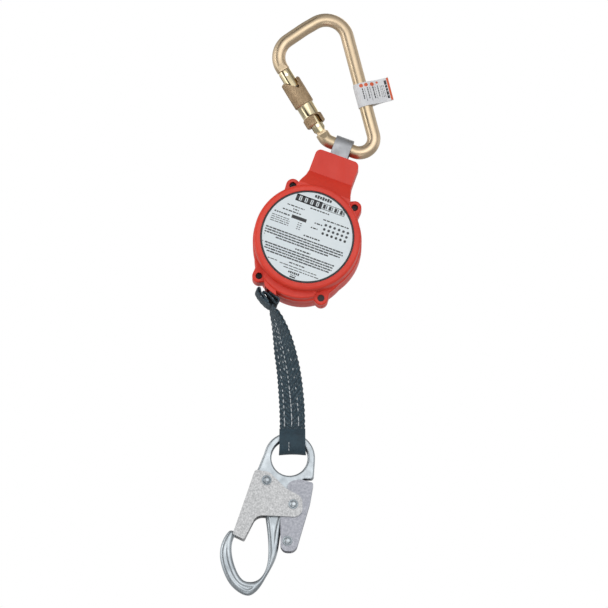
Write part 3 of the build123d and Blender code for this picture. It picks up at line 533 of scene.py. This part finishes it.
def ribbon(name, centre, across, material, width=WEB_WIDTH, thick=WEB_THICK, samples=44, relief=0.0,
           scallop=0.0, crown=0.0):
    """A woven band along a line: rounded selvedges, slanting ribs that scallop its edges, closed ends."""
    centre, across = np.asarray(centre, float), unit(np.asarray(across, float))
    tangent = unit(np.gradient(centre, axis=0))
    across = unit(across - (across * tangent).sum(1, keepdims=True) * tangent)
    normal = unit(np.cross(tangent, across))
    travelled = np.concatenate(([0.0], np.cumsum(np.linalg.norm(np.diff(centre, axis=0), axis=1))))
    turn = np.linspace(0.0, TURN, 2 * samples, endpoint=False)
    # A flattened super-ellipse section: blunt selvedges and flat faces.
    flat = np.sign(np.cos(turn)) * np.abs(np.cos(turn)) ** 0.55
    high = np.sign(np.sin(turn)) * np.abs(np.sin(turn)) ** 0.3
    half = np.broadcast_to(np.asarray(width, float) / 2, (len(centre),))[:, None]
    v = flat * half
    u = travelled[:, None]
    edge = np.clip((np.abs(v) - half + 2.6) / 2.6, 0, 1)
    ribs = np.sin(TURN * (u + np.abs(v)) / RIB_PITCH)
    lift = relief * ribs * (0.45 + 0.55 * edge) * (np.abs(high) > 0.2) * np.sign(high)
    wide = v * (1 + scallop / half * ribs * edge)
    bow = np.broadcast_to(np.asarray(crown, float), (len(centre),))[:, None] * (1 - (v / half) ** 2)
    place = (centre[:, None, :] + across[:, None, :] * wide[..., None]
             + normal[:, None, :] * (high * thick / 2 + lift + bow)[..., None])
    rows, columns = place.shape[:2]
    faces = ring_faces(rows, columns)
    faces.append(tuple(range(columns - 1, -1, -1)))
    faces.append(tuple((rows - 1) * columns + c for c in range(columns)))
    made = mesh_object(name, place.reshape(-1, 3), faces, material)
    coordinates = np.stack([np.repeat(travelled, columns), v.ravel(), np.zeros(rows * columns)], 1)
    weave_attribute(made, coordinates)
    return made


route, route_length = resample(nurbs_points([(x, 0, z) for x, z in ROUTE]), 0.5)
route_along = unit(np.gradient(route, axis=0))
angles = np.radians(np.interp(-route[:, 2], [-z for z, _ in TWIST], [a for _, a in TWIST]))
angles = smooth_rows(angles, 30)
route_across = np.stack([np.sin(angles), -np.cos(angles), 0 * angles], 1)
route_across = unit(route_across - (route_across * route_along).sum(1, keepdims=True) * route_along)
route_front = unit(np.cross(route_along, route_across))


def on_route(travel, offset, side=0.0):
    """A point beside the route: offset towards the front face, side along the width, in millimetres."""
    pick = [np.interp(travel, route_length, table[:, k]) for table in (route, route_front, route_across)
            for k in range(3)]
    place, front, across = (np.stack(pick[k:k + 3], -1) for k in (0, 3, 6))
    offset, side = np.asarray(offset, float)[..., None], np.asarray(side, float)[..., None]
    return place + front * offset + across * side, across


def travel_at(height):
    return float(np.interp(-height, -route[:, 2], route_length))


# Side view of the sewn eye: (distance along the route, distance in front of it).
NECK_TRAVEL, TAIL_TRAVEL = travel_at(-285.5), travel_at(-290.5)
LAYER = WEB_THICK / 2 + 0.12
bight_travel, bar_travel = travel_at(BIGHT_Z), travel_at(BAR_Z)
split = travel_at(-402.0)
down = [(NECK_TRAVEL, LAYER), (NECK_TRAVEL + 25, LAYER), (split - 25, LAYER), (split - 4, LAYER),
        (split + 2, LAYER + 0.1), (split + 5.5, 2.2), (split + 10.5, 5.9), (bar_travel, LOOP_REACH),
        (bight_travel - 2, LOOP_REACH)]
arc = [(bight_travel + LOOP_REACH * math.sin(t), LOOP_REACH * math.cos(t))
       for t in np.linspace(0, math.pi, 7)]
up = [(travel, -offset) for travel, offset in reversed(down) if travel > TAIL_TRAVEL + 3]
up += [(TAIL_TRAVEL, -LAYER)]
side_view, _ = resample(nurbs_points([(t, o, 0) for t, o in down + arc + up], 12), 0.45)
front_leg = side_view[:int(np.argmax(side_view[:, 1] > LOOP_REACH - 0.3))]
centre, across = on_route(side_view[:, 0], side_view[:, 1])
lifeline = ribbon("lifeline_band", centre, across, webbing, relief=0.22, scallop=0.34)
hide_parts("lifeline_webbing", "webbing_loop")

# The folded stop at the mouth: one band laid back and forth, seen on its edge.
FOLD = [(-59.5, -273.2), (-57.4, -275.6), (-54.6, -278.0), (-52.2, -281.0), (-53.6, -284.6), (-57.0, -283.4),
        (-58.6, -279.6), (-61.0, -275.8), (-63.4, -272.4), (-66.2, -270.2), (-66.8, -273.2), (-63.6, -276.8),
        (-61.2, -280.0), (-60.4, -283.0), (-62.2, -282.4), (-64.8, -278.0), (-69.4, -273.0), (-70.0, -268.4),
        (-72.6, -267.6), (-73.8, -271.0), (-71.2, -275.4), (-67.8, -279.8), (-64.2, -283.2), (-61.0, -285.6),
        (-58.9, -286.6)]
fold_line, _ = resample(nurbs_points([(x, 0, z) for x, z in FOLD], 16), 0.45)
neck_place, neck_across = on_route(np.array([NECK_TRAVEL]), np.array([LAYER]))
fold_line = np.concatenate([fold_line[:-4], neck_place + np.array([[0, 0, 0.1]])])
fold_line = smooth_rows(fold_line, 3)
share = np.linspace(0, 1, len(fold_line))[:, None]
fold_across = np.array([[0, -1, 0]]) * (1 - share ** 6) + neck_across * share ** 6
fold_across = fold_across + np.stack([0.16 * np.sin(9 * share[:, 0]), 0 * share[:, 0],
                                      0.12 * np.sin(13 * share[:, 0])], 1) * (1 - share ** 4)
stop = ribbon("folded_stop", fold_line, fold_across, webbing, thick=1.9, relief=0.1, scallop=0.3)
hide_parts("stop_fold")

# The band that comes out of the mouth. It reaches from the housing to the stop as the line is pulled.
MOUTH_TOP, MOUTH_OUT = (-60.9, 0.0, -262.0), (-59.5, 0.0, -273.5)
steps = np.concatenate([np.linspace(0, 0.35, 4)[:-1], np.linspace(0.35, 0.9, 72), [1.0]])[:, None]
payout_line = np.array([MOUTH_TOP]) * (1 - steps) + np.array([MOUTH_OUT]) * steps
payout = ribbon("payout_band", payout_line, np.tile([[0.0, -1.0, 0.0]], (len(steps), 1)), webbing_by_place,
                samples=20, thick=1.6)
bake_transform(payout)

# The wear sleeve round the loop, and its own seam at the sides.
cover = [(travel_at(-410.2), 4.7), (travel_at(-413.5), 6.9), (bar_travel, LOOP_REACH + 1.5),
         (bight_travel - 3, LOOP_REACH + 1.55)]
reach = LOOP_REACH + 1.55
cover_arc = [(bight_travel + reach * math.sin(t), reach * math.cos(t)) for t in np.linspace(0, math.pi, 7)]
cover_sides = cover + cover_arc + [(t, -o) for t, o in reversed(cover)]
cover_view, _ = resample(nurbs_points([(t, o, 0) for t, o in cover_sides], 12), 0.5)
centre, across = on_route(np.minimum(cover_view[:, 0], route_length[-1]), cover_view[:, 1])
centre[:, 2] -= np.maximum(cover_view[:, 0] - route_length[-1], 0)
flare = np.clip((cover_view[:, 0] - bight_travel) / reach, 0, 1) ** 2
sleeve = ribbon("wear_sleeve_cover", centre, across, wear_cloth, width=25.9 + 1.3 * flare, thick=1.15,
                samples=40, crown=-1.1 * flare)
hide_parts("wear_sleeve")
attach(sleeve, "webbing_end")


# ------------------------------------------------------------------ stitching
def stitch_mesh(runs, radius):
    """Short bowed threads. Each run is (start, middle, end, outward) in millimetres."""
    vertices, faces = [], []
    sides = 6
    for start, middle, end, outward in runs:
        bend = [start, start * 0.45 + middle * 0.55, middle, end * 0.45 + middle * 0.55, end]
        sizes = [0.45, 0.95, 1.0, 0.95, 0.45]
        along = unit((end - start)[None])[0]
        out = unit((outward - along * np.dot(outward, along))[None])[0]
        beside = np.cross(along, out)
        first = len(vertices)
        for centre_point, size in zip(bend, sizes):
            for k in range(sides):
                t = TURN * k / sides
                vertices.append(centre_point + (math.cos(t) * beside * 1.15 + math.sin(t) * out * 0.8)
                                * radius * size)
        faces += ring_faces(len(bend), sides, first)
        faces.append(tuple(first + k for k in range(sides - 1, -1, -1)))
        faces.append(tuple(first + (len(bend) - 1) * sides + k for k in range(sides)))
    return vertices, faces


def stitch_row(side, top, bottom, dash, pitch, face, wander, seed):
    """One row of lock stitches on the front (+1) or back (-1) face of the doubled band."""
    chance = random.Random(seed)
    runs, travel = [], travel_at(top)
    while travel + dash < travel_at(bottom):
        length = dash * chance.uniform(0.75, 1.2)
        shift = chance.uniform(-wander, wander)
        places = np.array([travel, travel + length / 2, travel + length])
        surface = np.interp(places, front_leg[:, 0], front_leg[:, 1]) + WEB_THICK / 2
        points, _ = on_route(places, face * (surface + np.array([0.0, 0.28, 0.0])),
                             np.array([side + shift, side, side - shift]))
        outward = points[1] - (points[0] + points[2]) / 2
        runs.append((points[0], points[1], points[2], outward))
        travel += pitch * chance.uniform(0.88, 1.15)
    return runs


ROWS = [(-7.9, -300, -372, 2.8, 6.6), (-7.9, -373, -397, 3.6, 6.0), (-7.9, -398, -409.5, 5.0, 5.4),
        (-0.6, -297, -366, 3.2, 4.8), (-0.6, -366, -409.8, 4.3, 4.5), (-3.4, -303, -352, 2.4, 6.4),
        (6.2, -330, -384, 2.2, 9.5), (6.2, -384, -397, 3.5, 5.0), (6.2, -397, -409.3, 5.0, 5.4)]
for face, word in ((1, "front"), (-1, "back")):
    runs = []
    for number, (side, top, bottom, dash, pitch) in enumerate(ROWS):
        runs += stitch_row(side, top, bottom, dash, pitch, face, 0.25, 40 + number)
    vertices, faces = stitch_mesh(runs, 0.44)
    stitches = mesh_object(f"stitching_{word}", vertices, faces, thread)
    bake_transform(stitches)

# The short seam at the foot of the wear sleeve.
seam_runs = []
for face in (1, -1):
    for low in np.arange(-433.2, -424.0, 3.1):
        start = np.array([-41.2, -face * (reach + 0.55), low + 2.4])
        end = start + np.array([0.3, 0, -2.4])
        middle = (start + end) / 2 + np.array([0, -face * 0.3, 0])
        seam_runs.append((start, middle, end, np.array([0.0, -face, 0.0])))
vertices, faces = stitch_mesh(seam_runs, 0.32)
seam = mesh_object("sleeve_stitching", vertices, faces, thread)
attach(seam, "webbing_end")

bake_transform(lifeline)
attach(stop, "lifeline")

# ------------------------------------------------------------------ metal parts with more shape than the CAD
def frame_of(origin, right, up):
    """Local axes in the row frame: right, up and outward (towards the front)."""
    right, up = Vector(right).normalized(), Vector(up).normalized()
    return Matrix.Translation(Vector(origin)) @ Matrix((right, up, right.cross(up))).transposed().to_4x4()


def placed(name, vertices, faces, material, matrix, smooth=True):
    """A mesh given in local millimetres, moved into the row frame."""
    points = [matrix @ (Vector(v) * MM) for v in vertices]
    return mesh_object(name, np.array(points) / MM, faces, material, smooth)


def recalculate_normals(mesh):
    bm = bmesh.new()
    bm.from_mesh(mesh)
    bmesh.ops.recalc_face_normals(bm, faces=bm.faces)
    bm.to_mesh(mesh)
    bm.free()


def apply_modifiers(piece):
    """Keeps the shape that the modifiers make as the piece's own mesh."""
    bpy.context.view_layer.update()
    depsgraph = bpy.context.evaluated_depsgraph_get()
    mesh = bpy.data.meshes.new_from_object(piece.evaluated_get(depsgraph))
    piece.modifiers.clear()
    old, piece.data = piece.data, mesh
    bpy.data.meshes.remove(old)


# The lock sleeve, turned, with knurled collars.
GATE_FOOT, GATE_HEAD = Vector((-8.0, 0, -109.2)), Vector((-46.5, 0, -45.2))
gate_up = (GATE_HEAD - GATE_FOOT).normalized()
gate_right = Vector((gate_up.z, 0, -gate_up.x))
gate_frame = frame_of(GATE_FOOT * MM, gate_right, gate_up)
BORE, NECK_R, COLLAR_R = 6.86, 8.8, 10.1
SLEEVE_LOW, LOW_COLLAR, HIGH_COLLAR, SLEEVE_TOP = 10.2, 20.0, 33.5, 62.2
KNURL_STEP = 0.22


def sleeve_wall():
    """(radius, height, how much knurl) down the outside, then up the bore."""
    rows = [(BORE + 0.5, SLEEVE_TOP, 0), (COLLAR_R - 1.0, SLEEVE_TOP, 0),
            (COLLAR_R - 0.45, SLEEVE_TOP - 0.25, 0), (COLLAR_R - 0.12, SLEEVE_TOP - 0.9, 0.3)]
    rows += [(COLLAR_R, z, 1) for z in np.arange(SLEEVE_TOP - 1.4, HIGH_COLLAR + 1.0, -KNURL_STEP)]
    rows += [(COLLAR_R - 0.3, HIGH_COLLAR + 0.45, 0.3), (NECK_R + 0.5, HIGH_COLLAR + 0.1, 0),
             (NECK_R + 0.1, HIGH_COLLAR - 0.3, 0), (NECK_R, HIGH_COLLAR - 1, 0),
             (NECK_R, LOW_COLLAR + 1, 0), (NECK_R + 0.1, LOW_COLLAR + 0.3, 0), (NECK_R + 0.5, LOW_COLLAR, 0),
             (COLLAR_R - 0.3, LOW_COLLAR - 0.4, 0.3)]
    rows += [(COLLAR_R, z, 1) for z in np.arange(LOW_COLLAR - 0.9, SLEEVE_LOW + 1.0, -KNURL_STEP)]
    rows += [(COLLAR_R - 0.3, SLEEVE_LOW + 0.4, 0.3), (COLLAR_R - 1.0, SLEEVE_LOW, 0),
             (BORE + 0.4, SLEEVE_LOW, 0), (BORE, SLEEVE_LOW + 0.4, 0), (BORE, SLEEVE_TOP - 0.5, 0)]
    return rows


AROUND, KNURLS, KNURL_SLANT, KNURL_DEPTH = 432, 52, 5.0, 0.1
wall = sleeve_wall()
vertices = []
for radius, height, knurl in wall:
    for k in range(AROUND):
        t = TURN * k / AROUND
        first = math.cos(KNURLS * t + height * KNURL_SLANT)
        second = math.cos(KNURLS * t - height * KNURL_SLANT)
        r = radius + knurl * KNURL_DEPTH * (first + second - 0.6)
        vertices.append((r * math.cos(t), height, r * math.sin(t)))
faces = ring_faces(len(wall), AROUND, wrap=True)
sleeve_body = placed("knurled_sleeve", vertices, faces, knurled_gold, gate_frame)
recalculate_normals(sleeve_body.data)


def cut(target, name, vertices, faces, matrix):
    """Cuts a closed local shape out of a piece, for good."""
    cutter = placed(name, vertices, faces, black_steel, matrix, smooth=False)
    recalculate_normals(cutter.data)
    modifier = target.modifiers.new("cut", "BOOLEAN")
    modifier.object, modifier.operation, modifier.solver = cutter, "DIFFERENCE", "EXACT"
    apply_modifiers(target)
    bpy.data.objects.remove(cutter)


def prism(ring, near, far):
    """A closed outline standing from near to far towards the front."""
    n = len(ring)
    points = [(a, b, near) for a, b in ring] + [(a, b, far) for a, b in ring]
    return points, ring_faces(2, n) + [tuple(range(n - 1, -1, -1)), tuple(range(n, 2 * n))]


def arc_points(x, y, radius, start, end, count=7):
    return [(x + radius * math.cos(t), y + radius * math.sin(t))
            for t in np.radians(np.linspace(start, end, count))]


# The collar's top edge dips towards a narrow deep notch; the lower collar has a wide release slot.
notch = [(-7.2, SLEEVE_TOP + 6), (-7.2, SLEEVE_TOP - 0.6), (-4.6, SLEEVE_TOP - 3.4)]
notch += arc_points(-0.4, 56.6, 1.4, 200, 270) + arc_points(3.1, 52.4, 1.7, 180, 360)
notch += [(4.8, 55.8), (7.4, 57.0), (7.4, SLEEVE_TOP + 6)]
cut(sleeve_body, "notch", *prism(notch, 2.5, 14), gate_frame)
slot_ring = arc_points(3.7, 16.6, 2.7, 0, 180) + [(1.0, 2.0), (6.4, 2.0)]
cut(sleeve_body, "release_slot", *prism(slot_ring, 2.5, 14), gate_frame)
sleeve_body.data.materials.append(polished_gold)
foot_point = GATE_FOOT * MM
for polygon in sleeve_body.data.polygons:
    height = (polygon.center - foot_point).dot(gate_up) / MM
    if LOW_COLLAR + 0.2 < height < HIGH_COLLAR - 0.2:
        polygon.material_index = len(sleeve_body.data.materials) - 1
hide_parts("lock_sleeve")
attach(sleeve_body, "lock_sleeve")

# The forged hook body, rounded from its flat CAD blank.
EYE_X, EYE_Z = -40.5, -439.2
HOOK_HALF = 5.0
PIN_PLACES = [(EYE_X - 22.7, EYE_Z - 23.4), (EYE_X - 2.0, EYE_Z - 84.3)]


def remeshed(node, name, voxel):
    made = bpy.data.objects.new(name, nodes[node].data.copy())
    scene.collection.objects.link(made)
    modifier = made.modifiers.new("voxels", "REMESH")
    modifier.mode, modifier.voxel_size = "VOXEL", voxel * MM
    apply_modifiers(made)
    return made


def outline_tree(node, face_y, step=0.35):
    """The outline of a flat part's front face, as a search tree in the X-Z plane, without its pin holes."""
    mesh, edges = nodes[node].data, {}
    co = np.array([v.co for v in mesh.vertices]) / MM
    for polygon in mesh.polygons:
        if abs(polygon.normal.y) > 0.9 and abs(co[polygon.vertices[0]][1] - face_y) < 0.05:
            ring = [tuple(np.round(co[k][[0, 2]], 3)) for k in polygon.vertices]
            for a, b in zip(ring, ring[1:] + ring[:1]):
                key = (min(a, b), max(a, b))
                edges[key] = edges.get(key, 0) + 1
    points = []
    for (a, b), uses in edges.items():
        if uses == 1:
            a, b = np.array(a), np.array(b)
            count = max(1, int(np.linalg.norm(b - a) / step))
            points += [a + (b - a) * k / count for k in range(count + 1)]
    points = [p for p in points if all(math.hypot(p[0] - x, p[1] - z) > 3.4 for x, z in PIN_PLACES)]
    tree = KDTree(len(points))
    for number, p in enumerate(points):
        tree.insert((p[0], 0.0, p[1]), number)
    tree.balance()
    return tree


def soften(mesh, rounds):
    bm = bmesh.new()
    bm.from_mesh(mesh)
    for _ in range(rounds):
        bmesh.ops.smooth_vert(bm, verts=bm.verts, factor=0.5, use_axis_x=True, use_axis_y=True,
                              use_axis_z=True)
    bm.to_mesh(mesh)
    bm.free()


def step_up(value, low, high):
    t = min(1.0, max(0.0, (value - low) / (high - low)))
    return t * t * (3 - 2 * t)


forging = remeshed("hook_body", "forged_hook", 0.62)
soften(forging.data, 4)
tree = outline_tree("hook_body", -HOOK_HALF)
for vertex in forging.data.vertices:
    x, y, z = vertex.co / MM
    depth = tree.find((x, 0, z))[2]
    from_eye = math.hypot(x - EYE_X, z - EYE_Z)
    bar = step_up(from_eye, 40, 58)
    reach_in = 2.0 + 3.0 * bar
    round_over = math.sqrt(max(0.0, 1 - (1 - min(depth / reach_in, 1)) ** 2))
    least = 0.62 - 0.24 * bar
    half = HOOK_HALF * (least + (1 - least) * round_over)
    half -= 0.75 * bar * step_up(depth, 4.3, 5.6)
    vertex.co.y = y / HOOK_HALF * half * MM
soften(forging.data, 3)
for polygon in forging.data.polygons:
    polygon.use_smooth = True
forging.data.materials.clear()
forging.data.materials.append(zinc)
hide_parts("hook_body")
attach(forging, "hook")


# Domed rivet heads with a rolled rim, on the hook's three pins.
def lathe(profile, sides=48):
    """(radius, height) rows turned round the local outward axis; the last row closes on the axis."""
    vertices = [point for radius, height in profile[:-1] for point in circle(radius, height, sides)]
    vertices.append((0, 0, profile[-1][1]))
    faces = ring_faces(len(profile) - 1, sides)
    top = (len(profile) - 2) * sides
    faces += [(top + k, top + (k + 1) % sides, len(vertices) - 1) for k in range(sides)]
    faces.append(tuple(range(sides - 1, -1, -1)))
    return vertices, faces


RIM = [(5.1, 0.0), (5.05, 0.5), (4.65, 0.85), (4.2, 0.7), (3.95, 0.1), (3.6, 0.05), (3.45, 0.95), (2.8, 1.6),
       (1.9, 1.98), (0.9, 2.12), (0.0, 2.15)]
PLATE_OUT, LEVER_OUT = 9.2, 7.0
for name, node, body, place, seat in (
        ("gate_rivet_heads", "gate_rivet", "hook", (-22.7, -23.4), PLATE_OUT),
        ("gate_stud_heads", "gate_studs", "hook_gate", (3.8, -47.7), PLATE_OUT),
        ("lever_rivet_heads", "lever_rivet", "hook", (-2.0, -84.3), LEVER_OUT)):
    vertices, faces = [], []
    for side in (1, -1):
        dome, rings = lathe(RIM)
        start = len(vertices)
        vertices += [(x * side + place[0], y + place[1], side * (z + seat)) for x, y, z in dome]
        faces += [tuple(start + k for k in ring) for ring in rings]
    heads = placed(name, vertices, faces, zinc,
                   frame_of(Vector((EYE_X, 0, EYE_Z)) * MM, (1, 0, 0), (0, 0, 1)))
    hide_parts(node)
    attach(heads, body)

# ------------------------------------------------------------------ label and tag
AXLE = (-22.8, -219.9)
house_right, house_up = Vector((0.9385, 0, -0.3453)), Vector((0.3453, 0, 0.9385))
label_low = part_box("label_plate")[0]
face_out = -label_low.y / MM
label_frame = frame_of(Vector((AXLE[0], 0, AXLE[1])) * MM, house_right, house_up)
LABEL_R = 47.0


FINE_SIDES = 192
disc_profile = [(LABEL_R - 0.1, face_out - 0.6), (LABEL_R, face_out - 0.35), (LABEL_R - 0.12, face_out - 0.1),
                (LABEL_R - 0.5, face_out), (LABEL_R - 8, face_out + 0.02), (0, face_out + 0.04)]
disc = placed("label_disc", *lathe(disc_profile, FINE_SIDES), label_film, label_frame)
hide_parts("label_plate")


# The dark ring near the plate's edge.
RING_IN, RING_OUT = 45.1, 46.95
ring_rows = [(RING_IN, face_out - 0.12), (RING_IN + 0.06, face_out + 0.1), (RING_OUT - 0.1, face_out + 0.1),
             (RING_OUT, face_out - 0.12)]
vertices = [point for radius, height in ring_rows for point in circle(radius, height, FINE_SIDES)]
faces = ring_faces(len(ring_rows), FINE_SIDES, wrap=True)
border = placed("label_border", vertices, faces, black_ink, label_frame)

# The print: marks that stand a little proud of the film. Their random lengths follow the order of the calls.
PRINT_BASE, PRINT_THICK = face_out + 0.005, 0.06
chance = random.Random(11)


def bar(found, x, y, wide, high):
    """A printed mark: a low block with softened top edges."""
    vertices, faces = found
    n, inset = len(vertices), min(0.08, wide * 0.2, high * 0.2)
    for height, cut_in in ((0, 0), (PRINT_THICK * 0.7, 0), (PRINT_THICK, inset)):
        a, b, height = wide / 2 - cut_in, high / 2 - cut_in, PRINT_BASE + height
        vertices += [(x - a, y - b, height), (x + a, y - b, height),
                     (x + a, y + b, height), (x - a, y + b, height)]
    faces += ring_faces(3, 4, n) + [(n + 3, n + 2, n + 1, n), (n + 8, n + 9, n + 10, n + 11)]


def words(found, x_from, x_to, y, high, gap=0.75, longest=5.0):
    """A row of dashes that reads as a line of small print."""
    x = x_from
    while x < x_to - 0.6:
        wide = min(chance.uniform(1.3, longest), x_to - x)
        bar(found, x + wide / 2, y, wide, high * chance.uniform(0.85, 1.0))
        x += wide + gap


black, grey = ([], []), ([], [])
# Title band: a solid half with light blocks left in it, and an outlined half with dark blocks.
for k in range(5):
    bar(black, -22.6 + 6.0 * k, 34.6, 3.3, 6.9)
for y in (31.7, 37.5):
    bar(black, -10.6, y, 27.2, 1.3)
    bar(black, 14.9, y, 25.0, 0.55)
bar(black, 27.2, 34.6, 0.55, 6.3)
for k in range(4):
    bar(black, -19.6 + 6.0 * k, 34.6, 0.9, 3.6)
    bar(black, 5.6 + 6.0 * k, 34.6, 2.6, 4.2)
    bar(grey, 5.6 + 6.0 * k + 2.4, 34.6, 0.9, 4.2)
for k in range(7):
    bar(black, -5.8 + 2.6 * k, 41.6, 2.0, 2.6 + 0.8 * (k % 2))
words(black, -7, 13, 28.6, 1.3, longest=3.4)
for x_from, x_to, y, high in [
        (-30, -12, 24.8, 1.2), (-23, -17, 21.9, 1.2), (-33, -13, 19.0, 1.2), (9, 36, 22.0, 1.3),
        (2, 10.5, 15.8, 1.4), (0, 7, 10.4, 1.4), (-40, -23, 14.3, 1.4), (-4, 13, 0.4, 1.5),
        (-7, 9, -15.6, 1.5), (-8, 8, -30.4, 1.3)]:
    words(black, x_from, x_to, y, high, longest=3.6)
bar(black, -14.0, 14.6, 15.5, 3.4)
for y in (10.4, 8.3, 6.2, 4.1):
    words(grey, -41, -22, y, 0.85)
    words(grey, -13.5, -9, y, 0.85, longest=2)
for y, reach_x in [(-3.4, 43.5), (-6.0, 43.2), (-8.6, 42.8), (-11.2, 30.0), (-18.8, 38.5), (-21.4, 37.0),
                   (-24.0, 37.5), (-26.6, 34.0)]:
    words(grey, -min(reach_x, 43.0) + 0.6, reach_x - chance.uniform(0, 7), y, 1.5, gap=0.5)
for x_from, x_to, y in [(-30, -20, -32.8), (-17, 22, -33.6), (-12, 25, -36.2)]:
    words(grey, x_from, x_to, y, 0.95)
for k in range(6):
    bar(black, -5.0 + 2.0 * k, -39.3, 1.5, 1.8 + 0.5 * (k % 2))
bar(black, 0.2, -43.6, 6.0, 1.3)
words(grey, -2.6, 3.4, -41.7, 0.8)


def dot(found, x, y, radius, sides=18):
    vertices, faces = found
    n = len(vertices)
    for height, r in ((0, radius), (PRINT_THICK * 0.7, radius), (PRINT_THICK, radius * 0.88)):
        vertices += circle(r, PRINT_BASE + height, sides, x, y)
    faces += ring_faces(3, sides, n)
    faces.append(tuple(n + k for k in range(sides - 1, -1, -1)))
    faces.append(tuple(n + 2 * sides + k for k in range(sides)))


for row in range(3):
    for column in range(6):
        dot(grey if row < 2 else black, 13.4 + 4.7 * column, 17.4 - 4.5 * row, 1.35)
for y in (-3.4, -11.2, -18.8, -24.0):
    dot(black, -42.6 + 0.12 * abs(y), y, 0.45)
for found, word, material in ((black, "black", black_ink), (grey, "grey", grey_ink)):
    printed = placed(f"label_print_{word}", *found, material, label_frame, smooth=False)
    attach(printed, "housing")
for piece in (disc, border):
    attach(piece, "housing")

# The cloth tag, folded round the carabiner's spine with its two legs laid together.
SPINE_TOP, SPINE_FOOT = Vector((10.0, 0, 18.4)), Vector((50.9, 0, -139.1))
spine = (SPINE_FOOT - SPINE_TOP).normalized()
tag_right = Vector((-spine.z, 0, spine.x))
tag_frame = frame_of((SPINE_TOP + spine * 92.0) * MM, tag_right, -spine)
TAG_HALF, TAG_REACH, TAG_R = 12.0, 28.8, 7.15
fold = [(TAG_REACH, 0.42), (24.0, 0.45), (19.0, 0.8), (13.5, 2.6), (9.0, 5.6), (4.5, 6.9)]
fold += [(TAG_R * 1.04 * math.cos(t), TAG_R * 1.04 * math.sin(t)) for t in np.radians(np.arange(75, 290, 15))]
fold += [(x, -y) for x, y in reversed(fold[:6])]
fold_curve, _ = resample(nurbs_points([(x, y, 0) for x, y in fold], 16), 0.4)
wave_of = 0.35 * np.sin(fold_curve[:, 0] * 0.45)
local = [tag_frame @ (Vector((p[0], 0, p[1] + w * max(0, p[0] - 8) / 20)) * MM)
         for p, w in zip(fold_curve, wave_of)]
tag = ribbon("cloth_tag", np.array(local) / MM, np.tile([tuple(-spine)], (len(local), 1)), tag_cloth,
             width=2 * TAG_HALF, thick=0.42, samples=24)
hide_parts("carabiner_tag")
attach(tag, "carabiner")
front_half = fold_curve[:int(np.argmin(fold_curve[:, 0]))]


def tag_height(x):
    """How far the tag's printed face stands forward of the spine's axis."""
    def middle(at):
        ripple = 0.35 * math.sin(at * 0.45) * max(0, at - 8) / 20
        return float(np.interp(-at, -front_half[:, 0], front_half[:, 1])) + ripple
    slope = (middle(x + 0.3) - middle(x - 0.3)) / 0.6
    return middle(x) + 0.27 * math.sqrt(1 + slope * slope)


def tag_patch(found, x_from, x_to, y_from, y_to):
    """A printed patch that follows the tag's front face."""
    vertices, faces = found
    across_steps, up_steps = max(2, int((x_to - x_from) / 0.5) + 1), 3
    n = len(vertices)
    for x in np.linspace(x_from, x_to, across_steps):
        for y in np.linspace(y_from, y_to, up_steps):
            vertices.append((x, y, tag_height(x)))
    for a in range(across_steps - 1):
        for b in range(up_steps - 1):
            k = n + a * up_steps + b
            faces.append((k, k + up_steps, k + up_steps + 1, k + 1))


def tag_dot(found, x, y, radius, sides=20):
    vertices, faces = found
    n = len(vertices)
    rings = (radius, radius * 0.55, 0.001)
    for r in rings:
        vertices += [(a, b, tag_height(a)) for a, b, _ in circle(r, 0.0, sides, x, y)]
    faces += ring_faces(len(rings), sides, n)


orange, dark, pale = ([], []), ([], []), ([], [])
for x, y, radius in [(0.3, 9.0, 1.9), (5.4, 9.0, 1.9), (11.4, 8.4, 2.0), (16.6, 9.2, 1.2)]:
    tag_dot(orange, x, y, radius)
tag_patch(orange, 26.6, 28.7, -11.6, 11.6)


def tag_column(found, x, wide, top, foot, shortest, longest, gap):
    """Dashes one below the other, as small print that runs up the tag."""
    y = top
    while y > foot:
        long = chance.uniform(shortest, longest)
        tag_patch(found, x - wide / 2, x + wide / 2, y - long, y)
        y -= long + gap


for x, wide in ((0.7, 1.1), (6.0, 1.0), (11.6, 1.1), (16.4, 0.9)):
    tag_column(dark, x, wide, 6.0, -5.0, 1.2, 2.4, 0.5)
for x in (3.0, 8.4, 13.8, 19.0, 20.6, 22.2):
    tag_column(pale, x, 0.44, 5.4, -6.5, 1.0, 3.0, 0.6)
for low, high in ((-9.0, -6.0), (-5.4, -1.8), (-1.2, 1.4), (2.0, 4.6), (5.2, 9.6)):
    tag_patch(dark, 23.8, 26.0, low, high)
for found, word, material in (
        (orange, "orange", orange_ink), (dark, "dark", black_ink), (pale, "grey", grey_ink)):
    printed = placed(f"tag_print_{word}", *found, material, tag_frame)
    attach(printed, "carabiner")

# ------------------------------------------------------------------ softened edges on the CAD parts
EDGES = {"hook_gate": 0.6, "lock_lever": 0.55, "load_strap": 0.35, "front_cover": 1.1, "rear_cover": 1.1,
         "webbing_guide": 0.4, "carabiner_gate": 0.35, "cover_screws": 0.15, "carabiner_body": 0.4}
for name, size in EDGES.items():
    part = nodes[name]
    weld = part.modifiers.new("weld", "WELD")
    weld.merge_threshold = 1e-6
    bevel = part.modifiers.new("edges", "BEVEL")
    bevel.width, bevel.segments, bevel.limit_method = size * MM, 3, "ANGLE"
    bevel.angle_limit = math.radians(35)
    bevel.harden_normals = False
    bevel.use_clamp_overlap = True

# ------------------------------------------------------------------ floor, size and the end
bpy.ops.mesh.primitive_plane_add(size=60, location=(0, 0, FLOOR_Z))
floor = bpy.context.object
floor.name = "floor"
floor.data.materials.append(floor_paint)
floor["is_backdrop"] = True

low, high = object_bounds()
